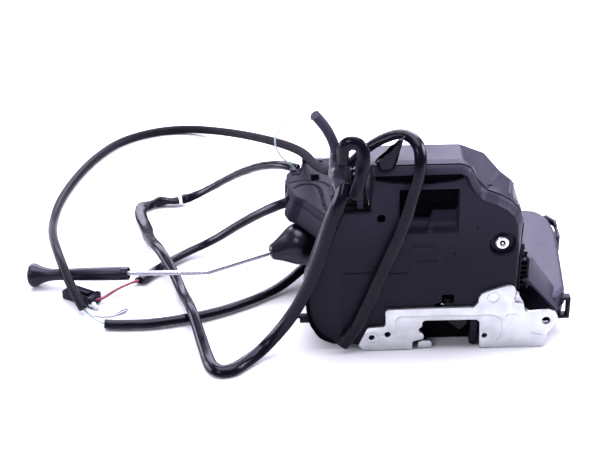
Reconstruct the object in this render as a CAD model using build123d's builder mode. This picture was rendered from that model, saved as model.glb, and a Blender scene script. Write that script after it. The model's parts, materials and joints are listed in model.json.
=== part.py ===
from build123d import *
import math
import os

# Door latch actuator: latch plate with its striker mouth, fork and pawl in an upright
# housing, an actuator housing lying behind it, a lock rod with its knob, and cut cables.
# Millimetres. X runs along the latch plate, Y away from the plate's outer face, Z up.
# The origin is the middle of the striker mouth, on the plate's outer face, at table level.

# ---------------------------------------------------------------- driving dimensions
GAP = 0.3                    # running clearance between moving pieces
FIT = 0.05                   # clearance of a pressed pin
WALL = 2.2                   # plastic wall

PLATE_T = 2.0                # steel latch plate
FLANGE_DEPTH = 24.0          # plate's foot flanges, along Y
MOUTH_RIGHT = 14.0
MOUTH_TOP = 18.8
DOOR_SCREW_LEFT = (-44.4, 8.9)
DOOR_SCREW_LEFT_R = 1.65     # M4 minor radius
DOOR_SCREW_RIGHT = (50.7, 17.2)
DOOR_SCREW_RIGHT_R = 2.5     # M6 minor radius
DOOR_SCREW_COLLAR = 4.6
DOOR_SCREW_COLLAR_LEN = 3.0
BOLT_CLEARANCE_R = 5.2       # free bore behind a door screw
LOCATING_HOLE_LEFT = (-35.8, 10.4)
LOCATING_HOLE_RIGHT = (17.4, 8.4)

COVER_FACE_T = 2.5           # front cover's face
CHAMBER_FLOOR = 12.0         # depth of the body's inner wall
BODY_FLOOR_T = 2.5
BODY_BACK = 30.0             # rear face of the upright housing
FLANGE_STEP = 2.0            # depth of the cover's rear flange
FLANGE_GROW = 0.6

FORK_PIVOT = (-8.0, 25.5)
FORK_T = 4.0
FORK_FRONT = 5.0
FORK_HUB_R = 7.5
FORK_REACH = 25.0
FORK_ARM_REACH = 20.3
FORK_TRAVEL = 45.0           # degrees from open to latched
FORK_PIN_R = 3.4

PAWL_PIVOT = (21.1, 32.8)
PAWL_PIN_R = 2.95
PAWL_T = 3.6

SCREW_AT = (24.5, 65.2)      # cover screw
SCREW_HEAD_R = 3.9
SCREW_HEAD_T = 2.2
SCREW_SHANK_R = 1.9
SCREW_RECESS_R = 7.2
SCREW_RECESS = 3.0
SCREW_BOSS_BACK = 22.0       # rear end of the boss that the screw threads into

CASE_LEFT = -62.0            # actuator housing behind the latch
CASE_RIGHT = 34.0
CASE_BACK = 110.0
CASE_TOP = 43.5
CASE_LID_T = 2.5
SIDE_BOTTOM = 10.0           # low side housing on the right
SIDE_TOP = 27.0
SIDE_LID_T = 2.2
MODULE_TOP = 60.0            # left module on top of the actuator housing
MODULE_LID_T = 2.5

ROD_R = 1.4
ROD_AXIS = Vector(34.3, 8.0, 6.7).normalized()
BOOT_WALL = 1.6
BOOT_LEN = 33.0
BOOT_R = 12.4
BOOT_BASE = Vector(-66.73, 67.36, 34.47)      # middle of the boot's flat end, on the case's boss
ROD_MOUTH = BOOT_BASE - ROD_AXIS * BOOT_LEN   # where the rod leaves the boot's tip
ROD_BEND_REACH = 37.0        # from the boot's tip out to the rod's bend
ROD_INNER_REACH = 13.0       # from the boot's base in to the rod's end
ROD_BEND = ROD_MOUTH - ROD_AXIS * ROD_BEND_REACH
ROD_INNER = BOOT_BASE + ROD_AXIS * ROD_INNER_REACH
KNOB_END = Vector(-238.0, 76.8, 6.9)
KNOB_AXIS = (KNOB_END - ROD_BEND).normalized()
KNOB_LEN = 58.0
KNOB_HEAD_R = 7.0
KNOB_GRIP = 12.0             # rod inside the knob

LEVER_ARM = 26.0             # lock lever, from its pivot to the rod's pin
LEVER_HUB_R = 5.0
LEVER_PIN_R = 2.5
LEVER_T = 3.5
SECTOR_R = 20.0
SECTOR_T = 4.0
SECTOR_Z = 18.0
WORM_R = 4.0
MOTOR_R = 12.0
MOTOR_LEN = 32.0

HUB_AT = (-60.5, 8.0)        # taped bundle that the cables come together in
HUB_R = 7.0
HUB_BOTTOM = 96.0
HUB_TOP = 114.0

HOSE_D = 5.4
SLEEVE_D = 6.0
ARCH_D = 5.0
WIRE_D = 1.2
STEEL_WIRE_D = 0.9

# ---------------------------------------------------------------- outlines, as (x, z)
# A third value is the radius of that corner.
PLATE_OUTLINE = [
    (-50.5, 0.0), (-47.5, 14.5, 2.0), (-37.7, 15.5, 1.5), (-37.0, 26.4, 1.5), (12.4, 26.7, 1.5),
    (13.4, 33.6, 2.0), (16.6, 37.2, 3.0), (31.2, 40.0, 3.0), (34.2, 29.7, 1.5), (38.1, 22.9, 1.5),
    (52.7, 23.5, 3.0), (56.4, 21.4, 3.0), (57.6, 17.4, 3.0), (55.6, 13.4, 2.0), (52.1, 11.7, 1.5),
    (52.6, 5.7), (49.3, 0.0), (15.9, 0.0), (MOUTH_RIGHT, 15.6, 2.0), (11.4, MOUTH_TOP, 1.5),
    (-12.4, MOUTH_TOP, 2.0), (-16.8, 13.7, 1.5), (-15.9, 7.2, 1.0), (-21.3, 5.6, 1.0), (-22.0, 0.0),
]
COVER_OUTLINE = [
    (-68.0, 5.5, 3.0), (-74.5, 9.5, 6.0), (-79.2, 20.6, 12.0), (-80.3, 34.8, 24.0),
    (-67.6, 70.0, 20.0), (-59.8, 86.2), (-46.0, 86.2), (-46.0, 110.0), (2.1, 110.2, 6.0),
    (10.6, 97.0, 10.0), (19.9, 90.2), (30.9, 82.7, 9.0), (33.4, 61.3, 20.0), (33.7, 24.0),
    (-36.5, 24.0), (-36.5, 2.9), (-51.5, 2.9), (-51.5, 7.5), (-65.5, 7.5),
]
BODY_OUTLINE = [
    (-68.8, 4.6, 3.0), (-75.4, 8.8, 6.0), (-80.2, 20.6, 12.0), (-81.3, 34.8, 24.0),
    (-68.6, 70.2, 20.0), (-60.4, 87.2), (-47.0, 87.2), (-47.0, 111.2), (2.4, 111.4, 6.0),
    (15.8, 105.8, 5.0), (25.0, 94.7, 5.0), (32.4, 88.4, 5.0), (37.2, 72.9, 8.0), (36.5, 41.0),
    (36.5, 25.0), (-36.5, 25.0), (-36.5, 2.5), (-51.5, 2.5), (-51.5, 7.5), (-65.5, 7.5),
]
SHOULDER_TOP = 86.2          # top of the housing's left shoulder, cover side
# outlines in plan, as (x, y)
SIDE_OUTLINE = [
    (CASE_RIGHT, 30.4), (37.6, 30.4), (39.6, 28.3), (55.6, 7.4), (63.0, 17.3), (68.9, 77.7),
    (67.3, 97.4), (63.9, 105.5), (CASE_RIGHT, 106.0),
]
MODULE_LEFT = -88.0
MODULE_OUTLINE = [
    (-83.4, 68.0), (MODULE_LEFT, 76.5), (MODULE_LEFT, 99.6), (-78.5, 112.0), (-58.0, 117.0),
    (-42.0, 117.0), (-42.0, 31.5), (-58.5, 31.5),
]
DOME_OUTLINE = [
    (-82.0, 70.5), (-84.4, 78.7), (-75.6, 84.5), (-70.5, 80.0), (-68.2, 66.0), (-65.8, 49.0),
    (-67.2, 48.0),
]
MODULE_BOTTOM = CASE_TOP + CASE_LID_T

os.makedirs("parts", exist_ok=True)


def upright(depth):
    """The plane that faces the front, at that depth along Y."""
    return Plane.XZ.offset(-depth)


def closed_outline(points):
    """A closed outline of straight runs, in which a point's third value rounds its corner."""
    corners = [point[2] if len(point) > 2 else 0.0 for point in points]
    FilletPolyline(*(point[:2] for point in points), radius=corners, close=True)


def prism(points, front, back, mode=Mode.ADD):
    """An (x, z) outline between two depths along Y."""
    with BuildSketch(upright(back)) as outline:
        with BuildLine():
            closed_outline(points)
        make_face()
    extrude(outline.sketch, amount=back - front, mode=mode)


def band(points, wall, front, back, grow=0.0):
    """The wall that follows an (x, z) outline, inside it, between two depths."""
    with BuildSketch(upright(back)) as outline:
        with BuildLine():
            closed_outline(points)
        face = make_face().face()
        offset(face, amount=-wall, kind=Kind.INTERSECTION, mode=Mode.SUBTRACT)
        if grow:
            offset(face, amount=grow, kind=Kind.INTERSECTION)
            offset(face, amount=-wall, kind=Kind.INTERSECTION, mode=Mode.SUBTRACT)
    extrude(outline.sketch, amount=back - front)


def slab(points, bottom, top, mode=Mode.ADD):
    """A plan outline between two heights."""
    with BuildSketch(Plane.XY.offset(bottom)) as outline:
        with BuildLine():
            Polyline(*points, close=True)
        make_face()
    extrude(outline.sketch, amount=top - bottom, mode=mode)


def tray(points, wall, bottom, top, floor):
    """An open-topped tray with a plan outline."""
    slab(points, bottom, top)
    with BuildSketch(Plane.XY.offset(bottom + floor)) as hollow:
        with BuildLine():
            Polyline(*points, close=True)
        face = make_face().face()
        offset(face, amount=-wall, kind=Kind.INTERSECTION, mode=Mode.REPLACE)
    extrude(hollow.sketch, amount=top - bottom - floor, mode=Mode.SUBTRACT)


def block(x, y, z, mode=Mode.ADD):
    """A box from its (low, high) pair along each axis."""
    centre = tuple((low + high) / 2 for low, high in (x, y, z))
    with Locations(centre):
        Box(x[1] - x[0], y[1] - y[0], z[1] - z[0], mode=mode)


def bar_y(at, radius, front, back, mode=Mode.ADD):
    """A cylinder along Y about an (x, z) point."""
    with BuildSketch(upright(back)) as section:
        with Locations(at):
            Circle(radius)
    extrude(section.sketch, amount=back - front, mode=mode)


def rod_between(start, end, radius, mode=Mode.ADD):
    """A cylinder from one point to another."""
    run = Vector(end) - Vector(start)
    with BuildSketch(Plane(origin=start, z_dir=run)) as section:
        Circle(radius)
    extrude(section.sketch, amount=run.length, mode=mode)


def polar(pivot, radius, angle):
    """The (x, z) point at that radius and angle in degrees about a pivot."""
    turn = math.radians(angle)
    return (pivot[0] + radius * math.cos(turn), pivot[1] + radius * math.sin(turn))


def finish(builder, label):
    """Labels a finished piece and writes its STEP file."""
    builder.part.label = label
    export_step(builder.part, f"parts/{label}.step")


# ---------------------------------------------------------------- latch plate
with BuildPart() as latch_plate:
    prism(PLATE_OUTLINE, 0.0, PLATE_T)
    block((-50.0, -22.0), (PLATE_T, FLANGE_DEPTH), (0.0, PLATE_T))
    block((15.9, 49.0), (PLATE_T, FLANGE_DEPTH), (0.0, PLATE_T))
    for screw_at, radius in (
        (DOOR_SCREW_LEFT, DOOR_SCREW_LEFT_R),
        (DOOR_SCREW_RIGHT, DOOR_SCREW_RIGHT_R),
    ):
        bar_y(screw_at, DOOR_SCREW_COLLAR, PLATE_T, PLATE_T + DOOR_SCREW_COLLAR_LEN)
        bar_y(screw_at, radius, 0.0, PLATE_T + DOOR_SCREW_COLLAR_LEN, Mode.SUBTRACT)
    bar_y(LOCATING_HOLE_LEFT, 1.75, 0.0, PLATE_T, Mode.SUBTRACT)
    bar_y(LOCATING_HOLE_RIGHT, 1.5, 0.0, PLATE_T, Mode.SUBTRACT)
    bar_y(PAWL_PIVOT, PAWL_PIN_R + FIT, 0.0, PLATE_T, Mode.SUBTRACT)
finish(latch_plate, "latch_plate")

# ---------------------------------------------------------------- front cover
WINDOW_X = (-31.0, 0.0)      # deep pocket in the cover's face
WINDOW_Z = (75.0, 98.4)
WINDOW_DEPTH = 6.0
WEDGE_LEN = 15.0             # slanted block in the pocket's right half
GROOVE_X = (-44.0, 3.0)      # dark groove under the top edge
GROOVE_Z = (100.6, 106.0)
GROOVE_DEPTH = 4.0
POCKET_WALL = 1.8
POCKETS = ((WINDOW_X, WINDOW_Z, WINDOW_DEPTH), (GROOVE_X, GROOVE_Z, GROOVE_DEPTH))
COVER_HOLE = (-41.0, 82.6)
COVER_HOLE_R = 2.0
COVER_BACK = CHAMBER_FLOOR
FACE_BACK = PLATE_T + COVER_FACE_T
with BuildPart() as front_cover:
    prism(COVER_OUTLINE, PLATE_T, FACE_BACK)
    band(COVER_OUTLINE, WALL, FACE_BACK, COVER_BACK)
    band(COVER_OUTLINE, WALL, COVER_BACK - FLANGE_STEP, COVER_BACK, FLANGE_GROW)
    block((-35.6, 28.0), (FACE_BACK, COVER_BACK), (20.0, 28.0), Mode.SUBTRACT)
    for (x0, x1), (z0, z1), depth in POCKETS:
        block(
            (x0 - POCKET_WALL, x1 + POCKET_WALL),
            (PLATE_T, PLATE_T + depth + POCKET_WALL),
            (z0 - POCKET_WALL, z1 + POCKET_WALL),
        )
    for (x0, x1), (z0, z1), depth in POCKETS:
        block((x0, x1), (PLATE_T, PLATE_T + depth), (z0, z1), Mode.SUBTRACT)
    window_floor = PLATE_T + WINDOW_DEPTH
    with BuildSketch(Plane.YZ.offset(WINDOW_X[1] - WEDGE_LEN)) as wedge:
        with BuildLine():
            Polyline(
                (window_floor, WINDOW_Z[0]),
                (PLATE_T + 1.2, WINDOW_Z[0] + 2.0),
                (PLATE_T + 1.8, WINDOW_Z[0] + 10.0),
                (window_floor, WINDOW_Z[0] + 13.0),
                close=True,
            )
        make_face()
    extrude(wedge.sketch, amount=WEDGE_LEN)
    bar_y(SCREW_AT, SCREW_RECESS_R + 1.6, PLATE_T, PLATE_T + SCREW_RECESS + 2.5)
    bar_y(SCREW_AT, SCREW_RECESS_R, PLATE_T, PLATE_T + SCREW_RECESS, Mode.SUBTRACT)
    bar_y(SCREW_AT, SCREW_SHANK_R + FIT, PLATE_T, COVER_BACK, Mode.SUBTRACT)
    bar_y(COVER_HOLE, COVER_HOLE_R + 1.6, PLATE_T, PLATE_T + 5.0)
    bar_y(COVER_HOLE, COVER_HOLE_R, PLATE_T, PLATE_T + 4.0, Mode.SUBTRACT)
    block((-5.5, 1.0), (PLATE_T, FACE_BACK), (28.4, 33.6), Mode.SUBTRACT)
    block((-3.2, -1.4), (PLATE_T, FACE_BACK), (28.0, 31.0))
    block((-83.4, -78.6), (5.0, 11.0), (14.0, 26.0))
    bar_y(FORK_PIVOT, FORK_PIN_R + FIT, PLATE_T, FACE_BACK, Mode.SUBTRACT)
    bar_y(PAWL_PIVOT, PAWL_PIN_R + FIT, PLATE_T, FACE_BACK, Mode.SUBTRACT)
    bar_y(DOOR_SCREW_LEFT, BOLT_CLEARANCE_R, PLATE_T, COVER_BACK, Mode.SUBTRACT)
finish(front_cover, "front_cover")

# ---------------------------------------------------------------- latch body
BODY_HOLLOW_FRONT = CHAMBER_FLOOR + BODY_FLOOR_T
LEVER_SLOT_X = (-60.0, -49.6)
RELEASE_FRONT = 17.0
RELEASE_T = 4.0
with BuildPart() as latch_body:
    prism(BODY_OUTLINE, CHAMBER_FLOOR, BODY_HOLLOW_FRONT)
    band(BODY_OUTLINE, WALL, BODY_HOLLOW_FRONT, BODY_BACK)
    bar_y(SCREW_AT, SCREW_SHANK_R + 2.1, BODY_HOLLOW_FRONT, SCREW_BOSS_BACK)
    bar_y(SCREW_AT, SCREW_SHANK_R + FIT, CHAMBER_FLOOR, SCREW_BOSS_BACK, Mode.SUBTRACT)
    bar_y(DOOR_SCREW_LEFT, BOLT_CLEARANCE_R, CHAMBER_FLOOR, BODY_BACK, Mode.SUBTRACT)
    block(
        LEVER_SLOT_X,
        (RELEASE_FRONT - 1.0, RELEASE_FRONT + RELEASE_T + 1.0),
        (SHOULDER_TOP - 4.0, SHOULDER_TOP + 2.0),
        Mode.SUBTRACT,
    )
    block((33.0, 36.6), (BODY_HOLLOW_FRONT + 0.1, BODY_BACK), (24.0, 30.0))
    for rib_z in (45.0, 50.0, 55.0):
        block((35.0, 38.4), (CHAMBER_FLOOR + 2.0, BODY_BACK - 4.0), (rib_z, rib_z + 2.0))
    bar_y(PAWL_PIVOT, PAWL_PIN_R + FIT, CHAMBER_FLOOR, BODY_HOLLOW_FRONT, Mode.SUBTRACT)
finish(latch_body, "latch_body")

# ---------------------------------------------------------------- mouth liner and bumper
LINER_MOUTH = (-11.0, 10.0)
LINER_X = (-34.0, 33.0)
LINER_TOP = 23.1
LINER_BASE = PLATE_T + GAP
MOUTH_ROOF = MOUTH_TOP - 0.8
with BuildPart() as mouth_liner:
    block(LINER_X, (CHAMBER_FLOOR, FLANGE_DEPTH), (LINER_BASE, LINER_TOP))
    block(LINER_MOUTH, (CHAMBER_FLOOR, FLANGE_DEPTH), (LINER_BASE, MOUTH_ROOF), Mode.SUBTRACT)
    block((LINER_X[1] - 11.0, LINER_X[1]), (PLATE_T, CHAMBER_FLOOR), (LINER_BASE, LINER_TOP))
    block((LINER_X[0] - 1.6, LINER_X[0]), (PLATE_T, FLANGE_DEPTH), (LINER_BASE, LINER_TOP))
finish(mouth_liner, "mouth_liner")

with BuildPart() as mouth_bumper:
    block((-5.0, 5.0), (CHAMBER_FLOOR + 1.5, FLANGE_DEPTH - 1.5), (MOUTH_ROOF - 2.8, MOUTH_ROOF))
    fillet(mouth_bumper.edges().filter_by(Axis.Y).group_by(Axis.Z)[0], 1.4)
finish(mouth_bumper, "mouth_bumper")

with BuildPart() as bumper_clip:
    block((10.4, 12.6), (CHAMBER_FLOOR - 1.4, CHAMBER_FLOOR), (LINER_BASE + 0.3, LINER_BASE + 4.1))
finish(bumper_clip, "bumper_clip")

# ---------------------------------------------------------------- fork
FORK_BACK = FORK_FRONT + FORK_T
HOOK = [
    (6.0, -110.0), (15.0, -103.0), (22.6, -99.0), (FORK_REACH, -88.0), (FORK_REACH, -72.0),
    (24.6, -60.0), (21.5, -59.0), (20.8, -70.0), (18.0, -82.0), (12.0, -85.0), (6.0, -62.0),
]
PUSH_ARM = [
    (6.0, -32.0), (12.0, -18.0), (FORK_ARM_REACH, -8.0), (FORK_ARM_REACH, 10.0), (12.0, 24.0),
    (6.0, 60.0),
]
COAT_ARM = [PUSH_ARM[0], (12.0, -14.0), (18.0, -6.0), (18.0, 8.0), (12.0, 20.0), PUSH_ARM[-1]]


def fork_points(shape):
    """A polar outline given in the latched position, turned back to the open one."""
    return [polar(FORK_PIVOT, r, a - FORK_TRAVEL) for r, a in shape]


with BuildPart() as fork:
    bar_y(FORK_PIVOT, FORK_HUB_R, FORK_FRONT, FORK_BACK)
    prism(fork_points(HOOK), FORK_FRONT, FORK_BACK)
    prism(fork_points(PUSH_ARM), FORK_FRONT, FORK_BACK)
    bar_y(FORK_PIVOT, FORK_PIN_R + GAP, FORK_FRONT, FORK_BACK, Mode.SUBTRACT)
finish(fork, "fork")

COAT_T = 0.8
with BuildPart() as fork_coat:
    bar_y(FORK_PIVOT, FORK_HUB_R - 0.6, FORK_BACK, FORK_BACK + COAT_T)
    prism(fork_points(COAT_ARM), FORK_BACK, FORK_BACK + COAT_T)
    bar_y(FORK_PIVOT, FORK_PIN_R + GAP, FORK_BACK, FORK_BACK + COAT_T, Mode.SUBTRACT)
finish(fork_coat, "fork_coat")

with BuildPart() as fork_pin:
    bar_y(FORK_PIVOT, FORK_PIN_R, PLATE_T, CHAMBER_FLOOR)
finish(fork_pin, "fork_pin")

# ---------------------------------------------------------------- pawl
PAWL_BACK = FORK_FRONT + PAWL_T
PAWL_ARM = [
    (13.5, 19.8), (15.2, 22.6), (16.2, 31.0), (19.4, 37.6), (24.0, 42.6), (28.2, 45.0), (28.9, 42.6),
    (25.8, 38.0), (24.9, 30.6), (19.4, 24.6), (17.0, 19.4), (14.9, 18.2),
]
with BuildPart() as pawl:
    prism(PAWL_ARM, FORK_FRONT, PAWL_BACK)
    bar_y(PAWL_PIVOT, PAWL_PIN_R + 2.4, FORK_FRONT, PAWL_BACK)
    bar_y(PAWL_PIVOT, PAWL_PIN_R + GAP, FORK_FRONT, PAWL_BACK, Mode.SUBTRACT)
finish(pawl, "pawl")

with BuildPart() as pawl_pin:
    bar_y(PAWL_PIVOT, PAWL_PIN_R, 0.0, BODY_HOLLOW_FRONT)
finish(pawl_pin, "pawl_pin")


def coil_spring(at, radius, wire, front, turns, leg_angle, leg):
    """A torsion spring about a Y axis: a helix with one straight leg."""
    pitch = wire * 2 + 0.25
    with BuildLine() as path:
        Helix(pitch=pitch, height=pitch * turns, radius=radius, center=(0, 0, 0), direction=(0, 0, 1))
    seat = Plane(origin=(at[0], front + wire, at[1]), x_dir=(1, 0, 0), z_dir=(0, 1, 0))
    spine = path.line.moved(Location(seat))
    with BuildSketch(Plane(origin=spine @ 0, z_dir=spine % 0)) as section:
        Circle(wire)
    sweep(section.sketch, path=spine, is_frenet=True)
    start = polar(at, radius, leg_angle)
    end = polar(at, radius + leg, leg_angle)
    rod_between((start[0], front + wire, start[1]), (end[0], front + wire, end[1]), wire)


with BuildPart() as fork_spring:
    coil_spring(FORK_PIVOT, 5.2, 0.4, FORK_BACK + COAT_T + 0.25, 1.0, -20.0, 6.0)
finish(fork_spring, "fork_spring")

with BuildPart() as pawl_spring:
    coil_spring(PAWL_PIVOT, 4.2, 0.4, PAWL_BACK + 0.3, 2.0, -20.0, 5.0)
finish(pawl_spring, "pawl_spring")

# ---------------------------------------------------------------- cover screw
with BuildPart() as cover_screw:
    seat = PLATE_T + SCREW_RECESS
    bar_y(SCREW_AT, SCREW_HEAD_R, seat - SCREW_HEAD_T, seat)
    bar_y(SCREW_AT, SCREW_SHANK_R, seat, SCREW_BOSS_BACK - 1.0)
    fillet(cover_screw.edges().group_by(Axis.Y)[0], 0.9)
    with BuildSketch(upright(seat - SCREW_HEAD_T)) as socket:
        with Locations(SCREW_AT):
            RegularPolygon(1.6, 6)
    extrude(socket.sketch, amount=-1.3, mode=Mode.SUBTRACT)
finish(cover_screw, "cover_screw")

# ---------------------------------------------------------------- release lever in the left notch
RELEASE_PIVOT = (-53.5, 76.0)
RELEASE_TOP = 104.0
RELEASE_PIN_R = 2.0
with BuildPart() as release_lever:
    block((-56.0, -51.4), (RELEASE_FRONT, RELEASE_FRONT + RELEASE_T), (RELEASE_PIVOT[1], RELEASE_TOP))
    bar_y(RELEASE_PIVOT, 4.4, RELEASE_FRONT, RELEASE_FRONT + RELEASE_T)
    bar_y((-53.7, RELEASE_TOP - 3.0), 1.2, RELEASE_FRONT, RELEASE_FRONT + RELEASE_T, Mode.SUBTRACT)
    bar_y(RELEASE_PIVOT, RELEASE_PIN_R + GAP, RELEASE_FRONT, RELEASE_FRONT + RELEASE_T, Mode.SUBTRACT)
finish(release_lever, "release_lever")

with BuildPart() as release_pin:
    bar_y(RELEASE_PIVOT, RELEASE_PIN_R, BODY_HOLLOW_FRONT, 22.6)
    bar_y(RELEASE_PIVOT, RELEASE_PIN_R + 1.2, 21.3, 22.6)
finish(release_pin, "release_pin")

with BuildPart() as release_spring:
    coil_spring(RELEASE_PIVOT, 3.2, 0.4, BODY_HOLLOW_FRONT + 0.1, 1.5, 180.0, 5.0)
finish(release_spring, "release_spring")

with BuildPart() as fork_switch:
    block((-36.0, -24.0), (BODY_HOLLOW_FRONT, 20.5), (40.0, 46.0))
    block((-34.0, -28.0), (16.0, 18.0), (46.0, 47.0))
finish(fork_switch, "fork_switch")

# ---------------------------------------------------------------- actuator housing
CASE_FRONT = BODY_BACK
CASE_FLOOR = 2.5
CASE_OUTLINE = [
    (CASE_LEFT, CASE_FRONT), (CASE_LEFT, CASE_BACK), (CASE_RIGHT, CASE_BACK), (CASE_RIGHT, CASE_FRONT),
]
BOSS_LEN = 6.0
BOSS_END = BOOT_BASE + ROD_AXIS * BOSS_LEN
LEVER_ACROSS = Vector(ROD_AXIS.X, ROD_AXIS.Y, 0).normalized()
LEVER_ALONG = Vector(-LEVER_ACROSS.Y, LEVER_ACROSS.X, 0)
LEVER_PIVOT = Vector(ROD_INNER.X, ROD_INNER.Y, 0) - LEVER_ALONG * LEVER_ARM
LEVER_TOP = ROD_INNER.Z - ROD_R - 1.2
# (x, z) of the axis that the worm and the motor share
MOTOR_AT = (LEVER_PIVOT.X + SECTOR_R + GAP + WORM_R, SECTOR_Z + SECTOR_T / 2)
MOTOR_FRONT = 62.0
with BuildPart() as actuator_case:
    tray(CASE_OUTLINE, WALL, 0.0, CASE_TOP, CASE_FLOOR)
    rod_between(BOOT_BASE, BOSS_END, BOOT_R - 1.0)
    rod_between(BOOT_BASE, ROD_INNER, ROD_R + GAP, Mode.SUBTRACT)
    block((CASE_LEFT - BOOT_R, CASE_LEFT + BOOT_R), (45.0, 90.0), (CASE_TOP, MODULE_TOP), Mode.SUBTRACT)
    for cradle_y in (MOTOR_FRONT + 5.0, MOTOR_FRONT + MOTOR_LEN - 8.0):
        block((MOTOR_AT[0] - 8.0, MOTOR_AT[0] + 8.0), (cradle_y, cradle_y + 3.0), (CASE_FLOOR, MOTOR_AT[1]))
    bar_y(MOTOR_AT, MOTOR_R + FIT, MOTOR_FRONT, MOTOR_FRONT + MOTOR_LEN, Mode.SUBTRACT)
    bar_y(DOOR_SCREW_LEFT, BOLT_CLEARANCE_R, CASE_FRONT, CASE_FRONT + WALL, Mode.SUBTRACT)
finish(actuator_case, "actuator_case")

with BuildPart() as actuator_lid:
    slab(CASE_OUTLINE, CASE_TOP, CASE_TOP + CASE_LID_T)
    fillet(actuator_lid.edges().filter_by(Axis.Z), 3.0)
finish(actuator_lid, "actuator_lid")

# ---------------------------------------------------------------- low side housing
SIDE_CASE_TOP = SIDE_TOP - SIDE_LID_T
RING_LEFT = 57.8             # square cable ring on the front right corner
RING_RIGHT = 66.3
RING_TOP = 23.4
RING_BAR = 2.0
RING_Y = (12.6, 17.6)
with BuildPart() as side_case:
    tray(SIDE_OUTLINE, WALL, SIDE_BOTTOM, SIDE_CASE_TOP, 2.5)
    block((RING_LEFT, RING_RIGHT), RING_Y, (SIDE_BOTTOM, RING_TOP))
    block(
        (RING_LEFT + RING_BAR, RING_RIGHT - RING_BAR),
        RING_Y,
        (SIDE_BOTTOM + RING_BAR, RING_TOP - RING_BAR),
        Mode.SUBTRACT,
    )
    bar_y(DOOR_SCREW_RIGHT, BOLT_CLEARANCE_R, 5.0, 34.0, Mode.SUBTRACT)
finish(side_case, "side_case")

with BuildPart() as side_lid:
    slab(SIDE_OUTLINE, SIDE_CASE_TOP, SIDE_TOP)
    fillet(side_lid.edges().filter_by(Axis.Z).group_by(Axis.X)[-1], 6.0)
    block((68.4, 72.4), (80.0, 100.0), (15.0, 25.6))
    block((67.0, 71.0), (84.0, 96.0), (17.0, 23.0), Mode.SUBTRACT)
    slab(SIDE_OUTLINE, SIDE_BOTTOM, SIDE_CASE_TOP, Mode.SUBTRACT)
finish(side_lid, "side_lid")

SHROUD_LEFT = 36.9
SHROUD_TOP = 42.0
SHROUD_SLOPE = [
    (SHROUD_LEFT, SHROUD_TOP), (39.4, SHROUD_TOP), (57.0, 24.6), (57.0, 21.6), (54.6, 21.6),
    (SHROUD_LEFT, 39.6),
]
with BuildPart() as side_shroud:
    prism(SHROUD_SLOPE, 3.0, 27.6)
    slab([(39.4, 28.1), (55.3, 7.0), (60.0, 7.0), (60.0, 30.0), (39.4, 30.0)], 18.0, 45.0, Mode.SUBTRACT)
    prism([(SHROUD_LEFT, SHROUD_TOP), (39.4, SHROUD_TOP), (39.4, 38.0), (SHROUD_LEFT, 38.0)], 3.0, 27.6)
finish(side_shroud, "side_shroud")

# ---------------------------------------------------------------- left module
MODULE_CASE_TOP = MODULE_TOP - MODULE_LID_T
with BuildPart() as module_case:
    tray(MODULE_OUTLINE, WALL, MODULE_BOTTOM, MODULE_CASE_TOP, 2.0)
    block((MODULE_LEFT - 1.4, MODULE_LEFT + 0.4), (84.0, 98.0), (MODULE_BOTTOM + 3.0, MODULE_CASE_TOP))
    rod_between(ROD_MOUTH, BOSS_END, BOOT_R + 2 * GAP, Mode.SUBTRACT)
finish(module_case, "module_case")

PORT_X = (-73.3, -69.1)
PORT_Y = (88.4, 94.8)
with BuildPart() as module_lid:
    slab(MODULE_OUTLINE, MODULE_CASE_TOP, MODULE_TOP - 0.8)
    with BuildSketch(Plane.XY.offset(MODULE_TOP - 0.8)) as raised:
        with BuildLine():
            Polyline(*MODULE_OUTLINE, close=True)
        face = make_face().face()
        offset(face, amount=-1.6, kind=Kind.INTERSECTION, mode=Mode.REPLACE)
    extrude(raised.sketch, amount=0.8)
    slab(DOME_OUTLINE, MODULE_TOP - 0.4, MODULE_TOP + 0.8)
    block(PORT_X, PORT_Y, (MODULE_CASE_TOP, MODULE_TOP + 1.0), Mode.SUBTRACT)
finish(module_lid, "module_lid")

# ---------------------------------------------------------------- actuator drive
MOTOR_BACK = MOTOR_FRONT + MOTOR_LEN
MOTOR_NOSE = 1.5
SHAFT_R = 1.0
END_CAP_T = 2.5
with BuildPart() as motor_can:
    bar_y(MOTOR_AT, MOTOR_R, MOTOR_FRONT, MOTOR_BACK)
    bar_y(MOTOR_AT, 3.0, MOTOR_FRONT - MOTOR_NOSE, MOTOR_FRONT)
    bar_y(MOTOR_AT, SHAFT_R + GAP, MOTOR_FRONT - MOTOR_NOSE, MOTOR_BACK - 4.0, Mode.SUBTRACT)
finish(motor_can, "motor_can")

with BuildPart() as motor_end_cap:
    bar_y(MOTOR_AT, MOTOR_R - 0.5, MOTOR_BACK, MOTOR_BACK + END_CAP_T)
    for side in (-1, 1):
        block(
            (MOTOR_AT[0] + side * 6.0 - 1.5, MOTOR_AT[0] + side * 6.0 + 1.5),
            (MOTOR_BACK + END_CAP_T, MOTOR_BACK + END_CAP_T + 4.5),
            (MOTOR_AT[1] - 0.4, MOTOR_AT[1] + 0.4),
        )
finish(motor_end_cap, "motor_end_cap")

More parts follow.
